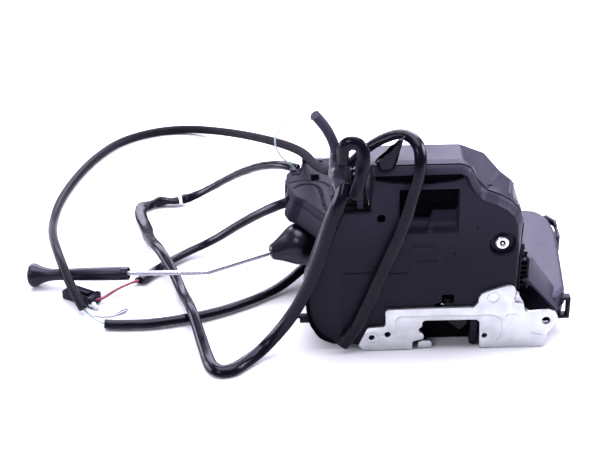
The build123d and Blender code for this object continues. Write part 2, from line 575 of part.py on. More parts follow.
HUB_STAND = 9.0              # lever's hub above the case floor
PIN_COLLAR = HUB_STAND - GAP
with BuildPart() as lock_lever:
    hub_base = CASE_FLOOR + HUB_STAND
    hub_ends = ((LEVER_PIVOT.X, LEVER_PIVOT.Y, hub_base), (LEVER_PIVOT.X, LEVER_PIVOT.Y, LEVER_TOP))
    rod_between(*hub_ends, LEVER_HUB_R)
    tip = LEVER_PIVOT + LEVER_ALONG * (LEVER_ARM + 4.0)
    side_step = LEVER_ACROSS * 4.0
    arm_corners = (LEVER_PIVOT - side_step, LEVER_PIVOT + side_step, tip + side_step, tip - side_step)
    slab([(p.X, p.Y) for p in arm_corners], LEVER_TOP - LEVER_T, LEVER_TOP)
    slot_start = LEVER_PIVOT + LEVER_ALONG * (LEVER_ARM - 4.0)
    slot_end = LEVER_PIVOT + LEVER_ALONG * (LEVER_ARM + 6.0)
    slot_step = LEVER_ACROSS * (ROD_R + 0.6)
    slot_corners = (
        slot_start - slot_step, slot_start + slot_step, slot_end + slot_step, slot_end - slot_step,
    )
    slab([(p.X, p.Y) for p in slot_corners], LEVER_TOP - LEVER_T, LEVER_TOP, Mode.SUBTRACT)
    with BuildSketch(Plane.XY.offset(SECTOR_Z)) as sector:
        with BuildLine():
            rim_start = LEVER_PIVOT + Vector(SECTOR_R, 0, 0).rotate(Axis.Z, -14)
            rim_middle = LEVER_PIVOT + Vector(SECTOR_R, 0, 0).rotate(Axis.Z, 10)
            rim_end = LEVER_PIVOT + Vector(SECTOR_R, 0, 0).rotate(Axis.Z, 34)
            ThreePointArc(rim_start, rim_middle, rim_end)
            Line(rim_end, LEVER_PIVOT)
            Line(LEVER_PIVOT, rim_start)
        make_face()
    extrude(sector.sketch, amount=SECTOR_T)
    for tooth in range(-10, 34, 6):
        notch = LEVER_PIVOT + Vector(SECTOR_R, 0, 0).rotate(Axis.Z, tooth)
        with Locations((notch.X, notch.Y, SECTOR_Z + SECTOR_T / 2)):
            Cylinder(0.7, SECTOR_T, mode=Mode.SUBTRACT)
    rod_between(*hub_ends, LEVER_PIN_R + GAP, Mode.SUBTRACT)
finish(lock_lever, "lock_lever")

with BuildPart() as lock_lever_pin:
    for collar, pin_top in ((0.0, CASE_TOP), (2.0, CASE_FLOOR + PIN_COLLAR)):
        pin_ends = ((LEVER_PIVOT.X, LEVER_PIVOT.Y, CASE_FLOOR), (LEVER_PIVOT.X, LEVER_PIVOT.Y, pin_top))
        rod_between(*pin_ends, LEVER_PIN_R + collar)
finish(lock_lever_pin, "lock_lever_pin")

WORM_FRONT = 38.0
WORM_BACK = 56.0
THREAD_PITCH = 2.1
with BuildPart() as worm:
    bar_y(MOTOR_AT, SHAFT_R, CASE_FRONT + WALL + 0.8, MOTOR_BACK - 5.0)
    bar_y(MOTOR_AT, WORM_R - 0.9, WORM_FRONT, WORM_BACK)
    for thread in range(8):
        thread_y = WORM_FRONT + 1.2 + thread * THREAD_PITCH
        bar_y(MOTOR_AT, WORM_R, thread_y, thread_y + 0.8)
finish(worm, "worm")

with BuildPart() as lock_switch:
    block((-12.0, 2.0), (40.0, 50.0), (CASE_FLOOR, 12.0))
    block((-10.0, -2.0), (44.0, 46.0), (12.0, 13.0))
finish(lock_switch, "lock_switch")

# ---------------------------------------------------------------- lock rod, knob and boot
KNOB_START = KNOB_END - KNOB_AXIS * KNOB_LEN
with BuildPart() as lock_rod:
    with BuildLine() as rod_path:
        FilletPolyline(ROD_INNER, ROD_BEND, KNOB_START + KNOB_AXIS * KNOB_GRIP, radius=8.0)
    with BuildSketch(Plane(origin=rod_path.line @ 0, z_dir=rod_path.line % 0)):
        Circle(ROD_R)
    sweep(path=rod_path.line)
    rod_between(ROD_INNER, (ROD_INNER.X, ROD_INNER.Y, LEVER_TOP - LEVER_T), ROD_R)
finish(lock_rod, "lock_rod")

KNOB_PROFILE = [
    (0.0, 0.0), (6.2, 0.0), (KNOB_HEAD_R, 1.0), (KNOB_HEAD_R, 3.4), (5.2, 7.0), (3.9, 11.0),
    (3.3, 17.0), (3.3, 24.0), (3.7, 34.0), (3.7, 50.0), (3.0, KNOB_LEN), (0.0, KNOB_LEN),
]
with BuildPart() as lock_knob:
    knob_side = KNOB_AXIS.cross(Vector(0, 0, 1))
    knob_plane = Plane(origin=KNOB_END, x_dir=knob_side, z_dir=knob_side.cross(-KNOB_AXIS))
    with BuildSketch(knob_plane) as knob_profile:
        with BuildLine():
            Polyline(*KNOB_PROFILE, close=True)
        make_face()
    revolve(knob_profile.sketch, axis=Axis(KNOB_END, KNOB_AXIS))
    rod_between(KNOB_START, KNOB_START + KNOB_AXIS * KNOB_GRIP, ROD_R + FIT, Mode.SUBTRACT)
finish(lock_knob, "lock_knob")

BOOT_PROFILE = [(0.0, 3.2), (2.4, 4.2), (8.0, 7.6), (13.0, 10.8), (17.0, BOOT_R), (BOOT_LEN, BOOT_R)]
boot_side = ROD_AXIS.cross(Vector(0, 0, 1)).normalized()
with BuildPart() as rod_boot:
    boot_plane = Plane(origin=ROD_MOUTH, x_dir=ROD_AXIS, z_dir=boot_side.cross(ROD_AXIS))
    with BuildSketch(boot_plane) as boot_profile:
        with BuildLine():
            inner = [(s, r - BOOT_WALL) for s, r in BOOT_PROFILE[1:]]
            Polyline(*BOOT_PROFILE, *reversed(inner), (2.4, ROD_R + GAP), (0.0, ROD_R + GAP), close=True)
        make_face()
    revolve(boot_profile.sketch, axis=Axis(ROD_MOUTH, ROD_AXIS))
finish(rod_boot, "rod_boot")

# ---------------------------------------------------------------- bundle of cables
with BuildPart() as bundle_tape:
    rod_between((*HUB_AT, HUB_BOTTOM), (*HUB_AT, HUB_TOP), HUB_R)
finish(bundle_tape, "bundle_tape")

with BuildPart() as cable_clip:
    clip_right = HUB_AT[0] + HUB_R + 3.3
    block((clip_right - 3.0, clip_right), (4.0, 9.7), (SHOULDER_TOP, 108.0))
    block((HUB_AT[0] - HUB_R + 0.5, clip_right), (3.6, 12.4), (HUB_BOTTOM - 2.4, HUB_BOTTOM))
finish(cable_clip, "cable_clip")

with BuildPart() as rubber_end:
    with BuildSketch(Plane.XY.offset(110.4)) as mouth:
        with Locations((-36.5, 5.9)):
            Ellipse(7.4, 3.7)
            Ellipse(6.4, 2.7, mode=Mode.SUBTRACT)
    extrude(mouth.sketch, amount=15.2)
    prism([(-46.0, 116.0), (-28.0, 125.6), (-28.0, 130.0), (-46.0, 130.0)], 0.0, 16.0, Mode.SUBTRACT)
finish(rubber_end, "rubber_end")

# ---------------------------------------------------------------- connector and terminal
PLUG_AT = Vector(-208.0, 59.7, 0.0)
PLUG_HEADING = -24.0
PLUG_SIZE = (23.0, 10.0, 6.4)
PLUG_PLANE = Plane(origin=PLUG_AT, x_dir=Vector(1, 0, 0).rotate(Axis.Z, PLUG_HEADING), z_dir=(0, 0, 1))
with BuildPart(PLUG_PLANE) as connector_plug:
    with Locations((0, 0, 0)):
        Box(*PLUG_SIZE, align=(Align.CENTER, Align.CENTER, Align.MIN))
    with Locations((-PLUG_SIZE[0] / 2, 0, 1.2)):
        Box(14.0, 7.6, 4.0, align=(Align.MIN, Align.CENTER, Align.MIN), mode=Mode.SUBTRACT)
    with Locations((2.0, 0, PLUG_SIZE[2])):
        Box(9.0, 3.6, 1.2, align=(Align.CENTER, Align.CENTER, Align.MIN))
finish(connector_plug, "connector_plug")

with BuildPart() as terminal:
    block((-180.4, -172.6), (42.4, 46.6), (0.2, 0.9))
    block((-180.4, -177.0), (43.2, 45.8), (0.9, 1.9))
finish(terminal, "terminal")


# ---------------------------------------------------------------- cables
def cable(label, route, diameter):
    """Sweeps a round cable along straight runs joined by tangent arcs."""
    points = [Vector(*p) for p in route]
    runs = [b - a for a, b in zip(points, points[1:])]
    radii = []
    for before, after in zip(runs, runs[1:]):
        half_turn = math.radians(before.get_angle(after)) / 2
        radii.append(0.45 * min(before.length, after.length) / math.tan(half_turn))
    with BuildPart() as tube:
        with BuildLine() as path:
            FilletPolyline(*points, radius=radii)
        with BuildSketch(Plane(origin=path.line @ 0, z_dir=path.line % 0)):
            Circle(diameter / 2)
        sweep(path=path.line)
    finish(tube, label)
    length = path.wires()[0].length
    filled = tube.part.volume / (math.pi * diameter**2 / 4 * length)
    turns = [round(before.get_angle(after)) for before, after in zip(runs, runs[1:])]
    print(f"{label}: length {length:.1f}, volume over section times length {filled:.4f}")
    print("   runs", [round(run.length) for run in runs], "turns", turns)
    print("   radii in diameters", [round(radius / diameter, 1) for radius in radii])


HOSE_LOOP = [
    (-63.6, 12.0, 106.0), (-66.3, 28.0, 97.6), (-68.0, 50.0, 86.4), (-72.0, 80.0, 74.0),
    (-76.8, 109.1, 66.6), (-84.5, 142.0, 54.5), (-93.5, 175.5, 41.0), (-103.0, 209.0, 27.0),
    (-114.5, 240.5, 14.0), (-130.0, 263.0, 5.5), (-150.0, 272.5, 2.9), (-173.0, 269.5, 2.8),
    (-195.9, 255.6, 2.8), (-211.0, 231.6, 2.8), (-221.5, 205.0, 2.8), (-229.5, 174.0, 2.8),
    (-231.0, 145.0, 4.4), (-228.0, 112.0, 13.0), (-220.6, 77.0, 19.8), (-213.1, 56.8, 13.0),
    (-206.5, 46.9, 4.4),
]
WIRE_GREEN = [
    (-207.33, 46.34, 4.4), (-206.0, 44.3, 2.65), (-203.6, 40.4, 1.2), (-200.6, 35.8, 1.0),
    (-198.2, 31.6, 1.8), (-195.2, 28.98, 3.1), (-191.9, 28.7, 3.1),
]
SLEEVE_LOWER = [
    (-191.9, 28.7, 3.1), (-172.0, 27.0, 3.1), (-151.0, 31.0, 3.2), (-129.5, 38.0, 3.1),
    (-110.0, 49.0, 3.1), (-96.0, 59.6, 3.2), (-86.5, 69.5, 4.4), (-79.0, 77.6, 6.8), (-71.4, 83.4, 9.6),
    (-66.4, 85.0, 10.8), (CASE_LEFT, 85.0, 10.8),
]
SLEEVE_LEFT = [
    (-88.0, 80.0, 50.0), (-93.0, 80.0, 50.0), (-99.0, 82.5, 46.5), (-107.0, 89.5, 38.0),
    (-117.0, 99.0, 26.5), (-127.0, 107.0, 14.5), (-136.0, 110.6, 7.0), (-146.0, 108.5, 3.6),
    (-156.0, 99.5, 3.1), (-165.5, 86.3, 3.1), (-174.8, 74.2, 3.1),
]
SLEEVE_FLAT = [
    (-80.9, 108.9, 56.4), (-87.0, 113.6, 56.4), (-95.0, 124.0, 51.5), (-104.0, 137.0, 43.5),
    (-115.0, 150.0, 32.5), (-125.0, 161.0, 21.5), (-136.0, 169.0, 10.5), (-147.0, 170.5, 4.4),
    (-159.0, 168.8, 3.2), (-170.0, 168.2, 3.1), (-177.8, 161.5, 3.1), (-179.8, 148.0, 3.2),
    (-176.4, 133.0, 3.6), (-170.5, 115.5, 7.0), (-163.5, 93.4, 13.6), (-153.6, 72.5, 7.6),
    (-148.6, 54.0, 5.4), (-143.6, 31.5, 11.4), (-137.8, 8.0, 5.4), (-133.9, -9.0, 3.1),
    (-131.6, -19.5, 3.1), (-126.6, -25.2, 3.1), (-119.6, -23.6, 3.1), (-113.0, -14.5, 3.1),
    (-105.0, -4.5, 4.8), (-97.5, -1.0, 11.6), (-90.5, -0.8, 21.0), (-84.0, -1.6, 33.0),
    (-76.8, -2.2, 49.6), (-71.4, -2.0, 68.0), (-68.2, -2.1, 81.0), (-64.4, -2.2, 92.0),
    (-61.4, -0.6, 99.0), (-60.2, 3.0, 103.6),
]
HOSE_STUB = [
    (-64.5, 10.0, HUB_TOP), (-64.5, 10.0, 118.5), (-66.0, 8.6, 124.6), (-68.6, 7.0, 131.2),
    (-72.0, 5.2, 137.4), (-75.8, 3.2, 142.8),
]
WIRE_LOOP = [
    (-77.7, 3.4, 140.0), (-84.0, 12.0, 136.0), (-90.1, 30.0, 124.9), (-94.9, 54.0, 106.6),
    (-94.4, 82.0, 85.0), (-90.0, 98.0, 69.0), (-83.5, 103.0, 60.6),
]
SLEEVE_ARCH = [
    (-61.5, 3.8, HUB_TOP), (-61.5, 3.8, 119.0), (-61.4, 3.5, 123.7), (-58.4, 2.9, 126.9),
    (-54.0, 2.2, 126.8), (-50.9, 1.0, 123.4), (-51.2, -0.8, 115.0), (-52.9, -2.0, 105.6),
    (-55.6, -3.0, 97.4),
]
SLEEVE_FRONT = [
    (-57.6, 11.4, 109.4), (-52.5, 13.5, 113.5), (-46.5, 15.0, 118.6), (-39.5, 15.4, 122.6),
    (-33.0, 14.6, 125.4), (-27.4, 12.0, 126.2), (-23.2, 7.4, 124.8), (-21.2, 1.8, 120.6),
    (-21.4, -1.5, 113.0), (-23.9, -1.5, 99.6), (-29.9, -1.5, 75.4), (-39.9, -1.5, 50.6),
    (-48.5, -1.5, 26.0), (-55.0, -1.5, 12.4), (-60.7, -1.5, 4.6),
]
WIRE_RED = [
    (-197.5, 55.0, 3.2), (-194.8, 53.8, 3.2), (-191.4, 54.6, 2.2), (-188.2, 58.4, 1.2),
    (-184.8, 63.2, 1.0), (-180.4, 67.9, 1.7), (-176.9, 71.47, 3.1), (-174.8, 74.2, 3.1),
]
WIRE_WHITE = [
    (-205.67, 47.46, 4.4), (-204.3, 45.4, 2.65), (-201.0, 42.6, 1.2), (-196.6, 40.4, 0.8),
    (-192.0, 39.6, 0.8), (-187.0, 40.8, 0.8), (-181.1, 44.5, 1.5),
]

cable("hose_loop", HOSE_LOOP, HOSE_D)
cable("wire_green", WIRE_GREEN, WIRE_D)
cable("sleeve_lower", SLEEVE_LOWER, SLEEVE_D)
cable("sleeve_left", SLEEVE_LEFT, SLEEVE_D)
cable("sleeve_flat", SLEEVE_FLAT, SLEEVE_D)
cable("hose_stub", HOSE_STUB, HOSE_D)
cable("wire_loop", WIRE_LOOP, STEEL_WIRE_D)
cable("sleeve_arch", SLEEVE_ARCH, ARCH_D)
cable("sleeve_front", SLEEVE_FRONT, SLEEVE_D)
cable("wire_red", WIRE_RED, WIRE_D)
cable("wire_white", WIRE_WHITE, WIRE_D)

TIE_FROM, TIE_TO = (Vector(*point) for point in SLEEVE_FLAT[7:9])
TIE_AT = (TIE_FROM + TIE_TO) / 2
TIE_ALONG = (TIE_TO - TIE_FROM).normalized()
with BuildPart() as white_tie:
    rod_between(TIE_AT - TIE_ALONG * 1.0, TIE_AT + TIE_ALONG * 1.0, SLEEVE_D / 2 + 0.6)
    rod_between(TIE_AT - TIE_ALONG * 2.0, TIE_AT + TIE_ALONG * 2.0, SLEEVE_D / 2 + FIT, Mode.SUBTRACT)
finish(white_tie, "white_tie")
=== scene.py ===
import json
import math

import bmesh
import bpy
import numpy as np
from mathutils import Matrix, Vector, noise


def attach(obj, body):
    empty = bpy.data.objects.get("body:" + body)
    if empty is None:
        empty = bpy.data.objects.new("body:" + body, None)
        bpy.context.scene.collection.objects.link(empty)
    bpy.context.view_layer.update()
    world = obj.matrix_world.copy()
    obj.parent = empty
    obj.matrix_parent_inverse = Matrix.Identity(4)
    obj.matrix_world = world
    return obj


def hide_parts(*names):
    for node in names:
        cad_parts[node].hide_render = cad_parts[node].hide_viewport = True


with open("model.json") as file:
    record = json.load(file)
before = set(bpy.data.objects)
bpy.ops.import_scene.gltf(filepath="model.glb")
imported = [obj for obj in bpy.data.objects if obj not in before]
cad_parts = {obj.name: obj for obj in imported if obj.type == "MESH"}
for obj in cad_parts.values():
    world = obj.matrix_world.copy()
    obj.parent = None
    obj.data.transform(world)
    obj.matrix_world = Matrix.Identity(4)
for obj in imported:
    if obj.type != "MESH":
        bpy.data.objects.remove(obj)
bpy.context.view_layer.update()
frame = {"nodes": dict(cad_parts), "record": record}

MM = 0.001
FORWARD = (0, 1, 0)     # into the part, away from the plate's outer face

# ---- materials
MATERIALS = {}


def new_material(name):
    material = MATERIALS[name] = bpy.data.materials.new(name)
    material.use_nodes = True
    tree = material.node_tree
    return material, tree, tree.nodes["Principled BSDF"]


def node(tree, kind, output, sockets=None, fed=None, **settings):
    """The output of a new shader node, given its socket values and the sources that feed it."""
    made = tree.nodes.new(kind)
    for key, value in settings.items():
        setattr(made, key, value)
    for key, value in (sockets or {}).items():
        made.inputs[key].default_value = value
    for key, source in (fed or {}).items():
        tree.links.new(source, made.inputs[key])
    return made.outputs[output]


def object_coordinates(tree, scale=(1, 1, 1)):
    """Surface position in metres, stretched by scale."""
    where = node(tree, "ShaderNodeTexCoord", "Object")
    return node(tree, "ShaderNodeMapping", "Vector", {"Scale": scale}, {"Vector": where})


def grain_noise(tree, vector, scale, detail=3.0, roughness=0.55):
    values = {"Scale": scale, "Detail": detail, "Roughness": roughness}
    return node(tree, "ShaderNodeTexNoise", "Fac", values, {"Vector": vector})


def ramp(tree, source, *stops):
    colour = node(tree, "ShaderNodeValToRGB", "Color", fed={"Fac": source})
    for element, (at, rgb) in zip(colour.node.color_ramp.elements, stops):
        element.position = at
        element.color = (*rgb, 1)
    return colour


def to_range(tree, source, low, high, start=0.3, end=0.7):
    values = {"From Min": start, "From Max": end, "To Min": low, "To Max": high}
    return node(tree, "ShaderNodeMapRange", "Result", values, {"Value": source})


def bump(tree, shader, height, strength, distance, edge=None):
    """Fine relief. With edge, corners also look rounded by that radius in metres."""
    fed = {"Height": height}
    if edge:
        fed["Normal"] = node(tree, "ShaderNodeBevel", "Normal", {"Radius": edge}, samples=4)
    values = {"Strength": strength, "Distance": distance}
    tree.links.new(node(tree, "ShaderNodeBump", "Normal", values, fed), shader.inputs["Normal"])


def finish(tree, shader, colour, roughness, **values):
    """Links colour and roughness, and sets plain values on the shader's own sockets."""
    tree.links.new(colour, shader.inputs["Base Color"])
    tree.links.new(roughness, shader.inputs["Roughness"])
    for key, value in values.items():
        shader.inputs[key.replace("_", " ")].default_value = value


def plastic(name, colour, pale_tone_and_sheen, rough, specular, grain=0.25, edge=0.0005, height_sheen_share=0.0):
    """Moulded plastic: spark-eroded grain, slight gloss changes and paler patches at random.
    A painted sheen, for light on the upper faces, can also pale it more with height, from 60 to 104 mm."""
    material, tree, shader = new_material(name)
    vector = object_coordinates(tree)
    clouds = tone_and_sheen = grain_noise(tree, vector, 38.0, 4.0)
    fine = grain_noise(tree, vector, 2600.0, 2.0, 0.7)
    # painted sheen: paler with height, standing in for light on the upper faces
    if height_sheen_share:
        height = node(tree, "ShaderNodeSeparateXYZ", "Z", fed={"Vector": vector})
        height_sheen = to_range(tree, height, 0.28, 0.8, 0.06, 0.104)
        tone_and_sheen = node(tree, "ShaderNodeMix", "Result", {"Factor": height_sheen_share}, {"A": clouds, "B": height_sheen})
    finish(tree, shader, ramp(tree, tone_and_sheen, (0.3, colour), (0.75, pale_tone_and_sheen)),
           to_range(tree, clouds, rough - 0.05, rough + 0.07),
           Specular_IOR_Level=specular, Specular_Tint=(0.8, 0.75, 1, 1))
    bump(tree, shader, fine, grain, 0.00008, edge)
    return material


def metal(name, colour, dull, rough, stretch=(1, 1, 1), scale=900.0, strength=0.12, edge=0.0004):
    """Metal with a directional brushed or rolled surface and duller patches."""
    material, tree, shader = new_material(name)
    brushed = grain_noise(tree, object_coordinates(tree, stretch), scale, 3.0)
    patches = grain_noise(tree, object_coordinates(tree), 120.0, 4.0)
    finish(tree, shader, ramp(tree, patches, (0.25, dull), (0.7, colour)),
           to_range(tree, patches, rough + 0.1, rough - 0.05), Metallic=1.0)
    if strength:
        bump(tree, shader, brushed, strength, 0.00005, edge)
    return material


def vinyl(name, colour, pale, rough, coat, wrinkle=0.6, wrinkle_scale=260.0, specular=0.5):
    """Soft glossy sleeve or insulation: fine creases and a thin clear gloss."""
    material, tree, shader = new_material(name)
    vector = object_coordinates(tree)
    creases = grain_noise(tree, vector, wrinkle_scale, 5.0, 0.6)
    clouds = grain_noise(tree, vector, 60.0, 3.0)
    finish(tree, shader, ramp(tree, clouds, (0.35, colour), (0.75, pale)),
           to_range(tree, creases, rough - 0.06, rough + 0.1),
           Specular_IOR_Level=specular, Specular_Tint=(0.84, 0.82, 1, 1),
           Coat_Weight=coat, Coat_Roughness=0.12)
    bump(tree, shader, creases, wrinkle, 0.0004)
    return material


# black plastic, paled towards the top by a painted sheen for light on its upper faces
BLACK = plastic("black_plastic", (0.0036, 0.003, 0.0066), (0.019, 0.017, 0.029), 0.42, 0.15, height_sheen_share=0.75)
LID = plastic("lid_plastic", (0.015, 0.0135, 0.025), (0.0215, 0.019, 0.035), 0.44, 0.19)
# unlit black: painted shade in recesses, holes, gaps and sockets
SHADE_PAINT = plastic("unlit_recess", (0.0015, 0.0013, 0.0022), (0.0022, 0.002, 0.003), 0.85, 0.02)
# dull near-black for painted shade at the back of the striker mouth
MOUTH_SHADE_PAINT = plastic("mouth_shade_plastic", (0.004, 0.0028, 0.0035), (0.006, 0.0045, 0.0055), 0.8, 0.02)
SHROUD = plastic("shroud_plastic", (0.0105, 0.0093, 0.0175), (0.015, 0.0132, 0.0245), 0.46, 0.15)
MODULE_SKIN = plastic("module_plastic", (0.0042, 0.0037, 0.008), (0.0066, 0.0058, 0.0115), 0.5, 0.075)
plastic("grey_plastic", (0.16, 0.16, 0.18), (0.2, 0.2, 0.22), 0.5, 0.4)
plastic("white_plastic", (0.7, 0.7, 0.68), (0.76, 0.76, 0.74), 0.45, 0.4)
KNOB = plastic("knob_plastic", (0.005, 0.0044, 0.0085), (0.008, 0.007, 0.0125), 0.3, 0.24, 0.12)
RUBBER = plastic("black_rubber", (0.0022, 0.0019, 0.0038), (0.0036, 0.0032, 0.006), 0.27, 0.36, 0.1)
ZINC = metal("zinc_plate", (0.63, 0.645, 0.655), (0.53, 0.545, 0.56), 0.42, (1, 1, 9), 420.0, 0.3)
STEEL = metal("bright_steel", (0.78, 0.78, 0.8), (0.62, 0.62, 0.65), 0.24)
metal("tool_steel", (0.026, 0.024, 0.026), (0.016, 0.014, 0.016), 0.4)
metal("rod_steel", (0.38, 0.38, 0.43), (0.3, 0.3, 0.35), 0.26, strength=0.0)
WIRE = metal("spring_wire", (0.7, 0.76, 0.78), (0.58, 0.62, 0.64), 0.24)
metal("dark_metal", (0.03, 0.026, 0.028), (0.02, 0.017, 0.019), 0.42)
metal("motor_steel", (0.46, 0.46, 0.48), (0.36, 0.36, 0.38), 0.35)
metal("brass", (0.72, 0.56, 0.28), (0.55, 0.42, 0.2), 0.3)
SLEEVE = vinyl("sleeve_black", (0.0018, 0.0016, 0.0042), (0.0034, 0.003, 0.0072),
               0.22, 0.05, 0.22, 220.0, 0.13)
HOSE = vinyl("hose_black", (0.0062, 0.0052, 0.0076), (0.0092, 0.0078, 0.0108), 0.36, 0.0, 0.12, 900.0, 0.05)
# a lit copy of the hose vinyl: its paler colour is painted light on the stub
HOSE_PAINTED_LIT = vinyl("hose_lit", (0.03, 0.028, 0.042), (0.046, 0.044, 0.062), 0.45, 0.0, 0.3, 500.0, 0.02)
LEAD = vinyl("pale_lead", (0.3, 0.42, 0.41), (0.38, 0.5, 0.49), 0.4, 0.0, 0.05, 900.0, 0.2)
TAPE = vinyl("tape", (0.0075, 0.0068, 0.012), (0.014, 0.013, 0.021), 0.34, 0.15, 0.8, 420.0, 0.3)
GREEN = vinyl("wire_green", (0.05, 0.13, 0.11), (0.08, 0.18, 0.15), 0.34, 0.1, 0.1)
RED = vinyl("wire_red", (0.17, 0.006, 0.022), (0.23, 0.01, 0.034), 0.34, 0.15, 0.1)
PALE = vinyl("wire_white", (0.42, 0.43, 0.47), (0.52, 0.53, 0.57), 0.36, 0.1, 0.1)
CRIMP = metal("crimped_tin", (0.42, 0.42, 0.45), (0.3, 0.3, 0.33), 0.3)
vinyl("white_tie", (0.72, 0.72, 0.76), (0.82, 0.82, 0.86), 0.34, 0.2, 0.3)
MATERIALS["screw_steel"] = STEEL
MATERIALS["spring_steel"] = WIRE

slot_of = {subpart["node"]: subpart["material_slot"] for subpart in frame["record"]["subparts"]}
OWN_LOOK = {"lock_knob": KNOB, "terminal": CRIMP}
for cad_name, slot_name in slot_of.items():
    for material_slot in frame["nodes"][cad_name].material_slots:
        material_slot.material = OWN_LOOK.get(cad_name) or MATERIALS[slot_name]

# the hose is duller where it leaves the module
HOSE_FADE_X = (-0.1, -0.17)
hose_tree = HOSE.node_tree
hose_x = node(hose_tree, "ShaderNodeSeparateXYZ", "X",
              fed={"Vector": node(hose_tree, "ShaderNodeTexCoord", "Object")})
hose_tree.links.new(to_range(hose_tree, hose_x, 0.85, 0.33, *HOSE_FADE_X),
                    hose_tree.nodes["Principled BSDF"].inputs["Roughness"])


# ---- mesh helpers
def link_piece(name, data, material, body="housing"):
    """A new piece that shows a mesh in the given material, riding on a body."""
    piece = bpy.data.objects.new(name, data)
    bpy.context.scene.collection.objects.link(piece)
    data.materials.append(material)
    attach(piece, body)
    return piece


def mesh_of(work, name):
    """A smooth-shaded mesh from a bmesh, which is freed, with its faces turned outwards."""
    bmesh.ops.recalc_face_normals(work, faces=work.faces)
    data = bpy.data.meshes.new(name)
    work.to_mesh(data)
    work.free()
    for face in data.polygons:
        face.use_smooth = True
    return data


def add_mesh(name, verts, faces, material, body="housing"):
    """A new piece from points in metres."""
    data = bpy.data.meshes.new(name)
    data.from_pydata([tuple(v) for v in verts], [], faces)
    data.validate()
    work = bmesh.new()
    work.from_mesh(data)
    bpy.data.meshes.remove(data)
    return link_piece(name, mesh_of(work, name), material, body)


def row_faces(rows, around, closed=True):
    """Quads between rows of points, each row around points long and closed on itself."""
    return [
        (a, b, b + around, a + around)
        for start in range(0, (rows - 1) * around, around)
        for a, b in ((start + k, start + (k + 1) % around) for k in range(around if closed else around - 1))
    ]


def prism_faces(count):
    """Both ends and the sides of a prism whose ends have count points each."""
    return [tuple(range(count)), tuple(range(2 * count - 1, count - 1, -1))] + row_faces(2, count)


def bevel(piece, width, angle=35.0):
    modifier = piece.modifiers.new("edges", "BEVEL")
    modifier.width = width * MM
    modifier.segments = 2
    modifier.limit_method = "ANGLE"
    modifier.angle_limit = math.radians(angle)
    modifier.harden_normals = False
    return piece


def prism_y(name, outline, front, back, material, width=0.35):
    """An (x, z) outline in mm between two depths, with rounded edges."""
    verts = [(x * MM, y * MM, z * MM) for y in (front, back) for x, z in outline]
    return bevel(add_mesh(name, verts, prism_faces(len(outline)), material), width)


def prism_z(name, outline, bottom, top, material=BLACK, width=0.35):
    """An (x, y) outline in mm between two heights, with rounded edges."""
    verts = [(x * MM, y * MM, z * MM) for z in (bottom, top) for x, y in outline]
    return bevel(add_mesh(name, verts, prism_faces(len(outline)), material), width)


def brick(name, x, y, z, material=BLACK, width=0.25):
    """A small moulded block from its (low, high) pair along each axis."""
    return prism_z(name, [(x[0], y[0]), (x[1], y[0]), (x[1], y[1]), (x[0], y[1])], *z, material, width)


# ---- cord routes, in mm
def in_metres(*route):
    return [tuple(round(value * MM, 8) for value in point) for point in route]


HOSE_LOOP = in_metres(
    (-63.6, 12, 106), (-66.3, 28, 97.6), (-68, 50, 86.4), (-72, 80, 74), (-76.8, 109.1, 66.6),
    (-84.5, 142, 54.5), (-93.5, 175.5, 41), (-103, 209, 27), (-114.5, 240.5, 14), (-130, 263, 5.5),
    (-150, 272.5, 2.9), (-173, 269.5, 2.8), (-195.9, 255.6, 2.8), (-211, 231.6, 2.8), (-221.5, 205, 2.8),
    (-229.5, 174, 2.8), (-231, 145, 4.4), (-228, 112, 13), (-220.6, 77, 19.8), (-212.6, 56, 11.8),
    (-205.2, 44, 4.2),
)
WIRE_GREEN = in_metres(
    (-208.5, 49.5, 7.2), (-206, 45.3, 4.4), (-203, 41.2, 2.7), (-198.5, 35.8, 2.2), (-194.5, 31, 2.8),
    (-191.9, 28.7, 3.1), (-186.6, 28.4, 3.1),
)
SLEEVE_LOWER = in_metres(
    (-191.9, 28.7, 3.1), (-172, 27, 3.1), (-151, 31, 3.2), (-129.5, 38, 3.1), (-110, 49, 3.1),
    (-96, 59.6, 3.2), (-86.5, 69.5, 4.4), (-79, 77.6, 6.8), (-71.4, 83.4, 9.6), (-66.4, 85, 10.8),
    (-62, 85, 10.8),
)
SLEEVE_LEFT = in_metres(
    (-88, 80, 50), (-92.5, 81, 47.8), (-99, 84.5, 42.8), (-107, 90.5, 35.2), (-117, 98.5, 24.5),
    (-127, 104.5, 14.2), (-136, 107, 7.5), (-146, 105, 4), (-156, 96.5, 3.3), (-165.5, 85.5, 3.2),
    (-174.8, 74.2, 3.1),
)
SLEEVE_FLAT = in_metres(
    (-80.9, 108.9, 56.4), (-87, 113.6, 56.4), (-95, 124, 51.5), (-104, 137, 43.5), (-115, 150, 32.5),
    (-125, 161, 21.5), (-136, 169, 10.5), (-147, 170.5, 4.4), (-159, 168.8, 3.2), (-170, 168.2, 3.1),
    (-177.8, 161.5, 3.1), (-177.2, 150.5, 3.2), (-172.8, 134.5, 3.6), (-170.5, 115.5, 7),
    (-163.5, 93.4, 13.6), (-153.6, 72.5, 7.6), (-148.6, 54, 5.4), (-143.6, 31.5, 11.4), (-137.8, 8, 5.4),
    (-134.5, -6.5, 3.1), (-132.2, -15.5, 3.1), (-127.6, -20.8, 3.1), (-120.6, -19.6, 3.1),
    (-113, -11.5, 3.1), (-105, -4.5, 4.8), (-97.5, -1, 11.6), (-90.5, -0.8, 21), (-84, -1.6, 33),
    (-76.8, -2.2, 49.6), (-71.4, -2, 68), (-68.2, -2.1, 81), (-64.4, -2.2, 92), (-61.4, -0.6, 99),
    (-60.2, 3, 103.6),
)
HOSE_STUB = in_metres(
    (-64.5, 10, 114), (-64.5, 10, 118.5), (-66, 8.6, 124.6), (-68.6, 7, 131.2), (-72, 5.2, 137.4),
    (-75.8, 3.2, 142.8),
)
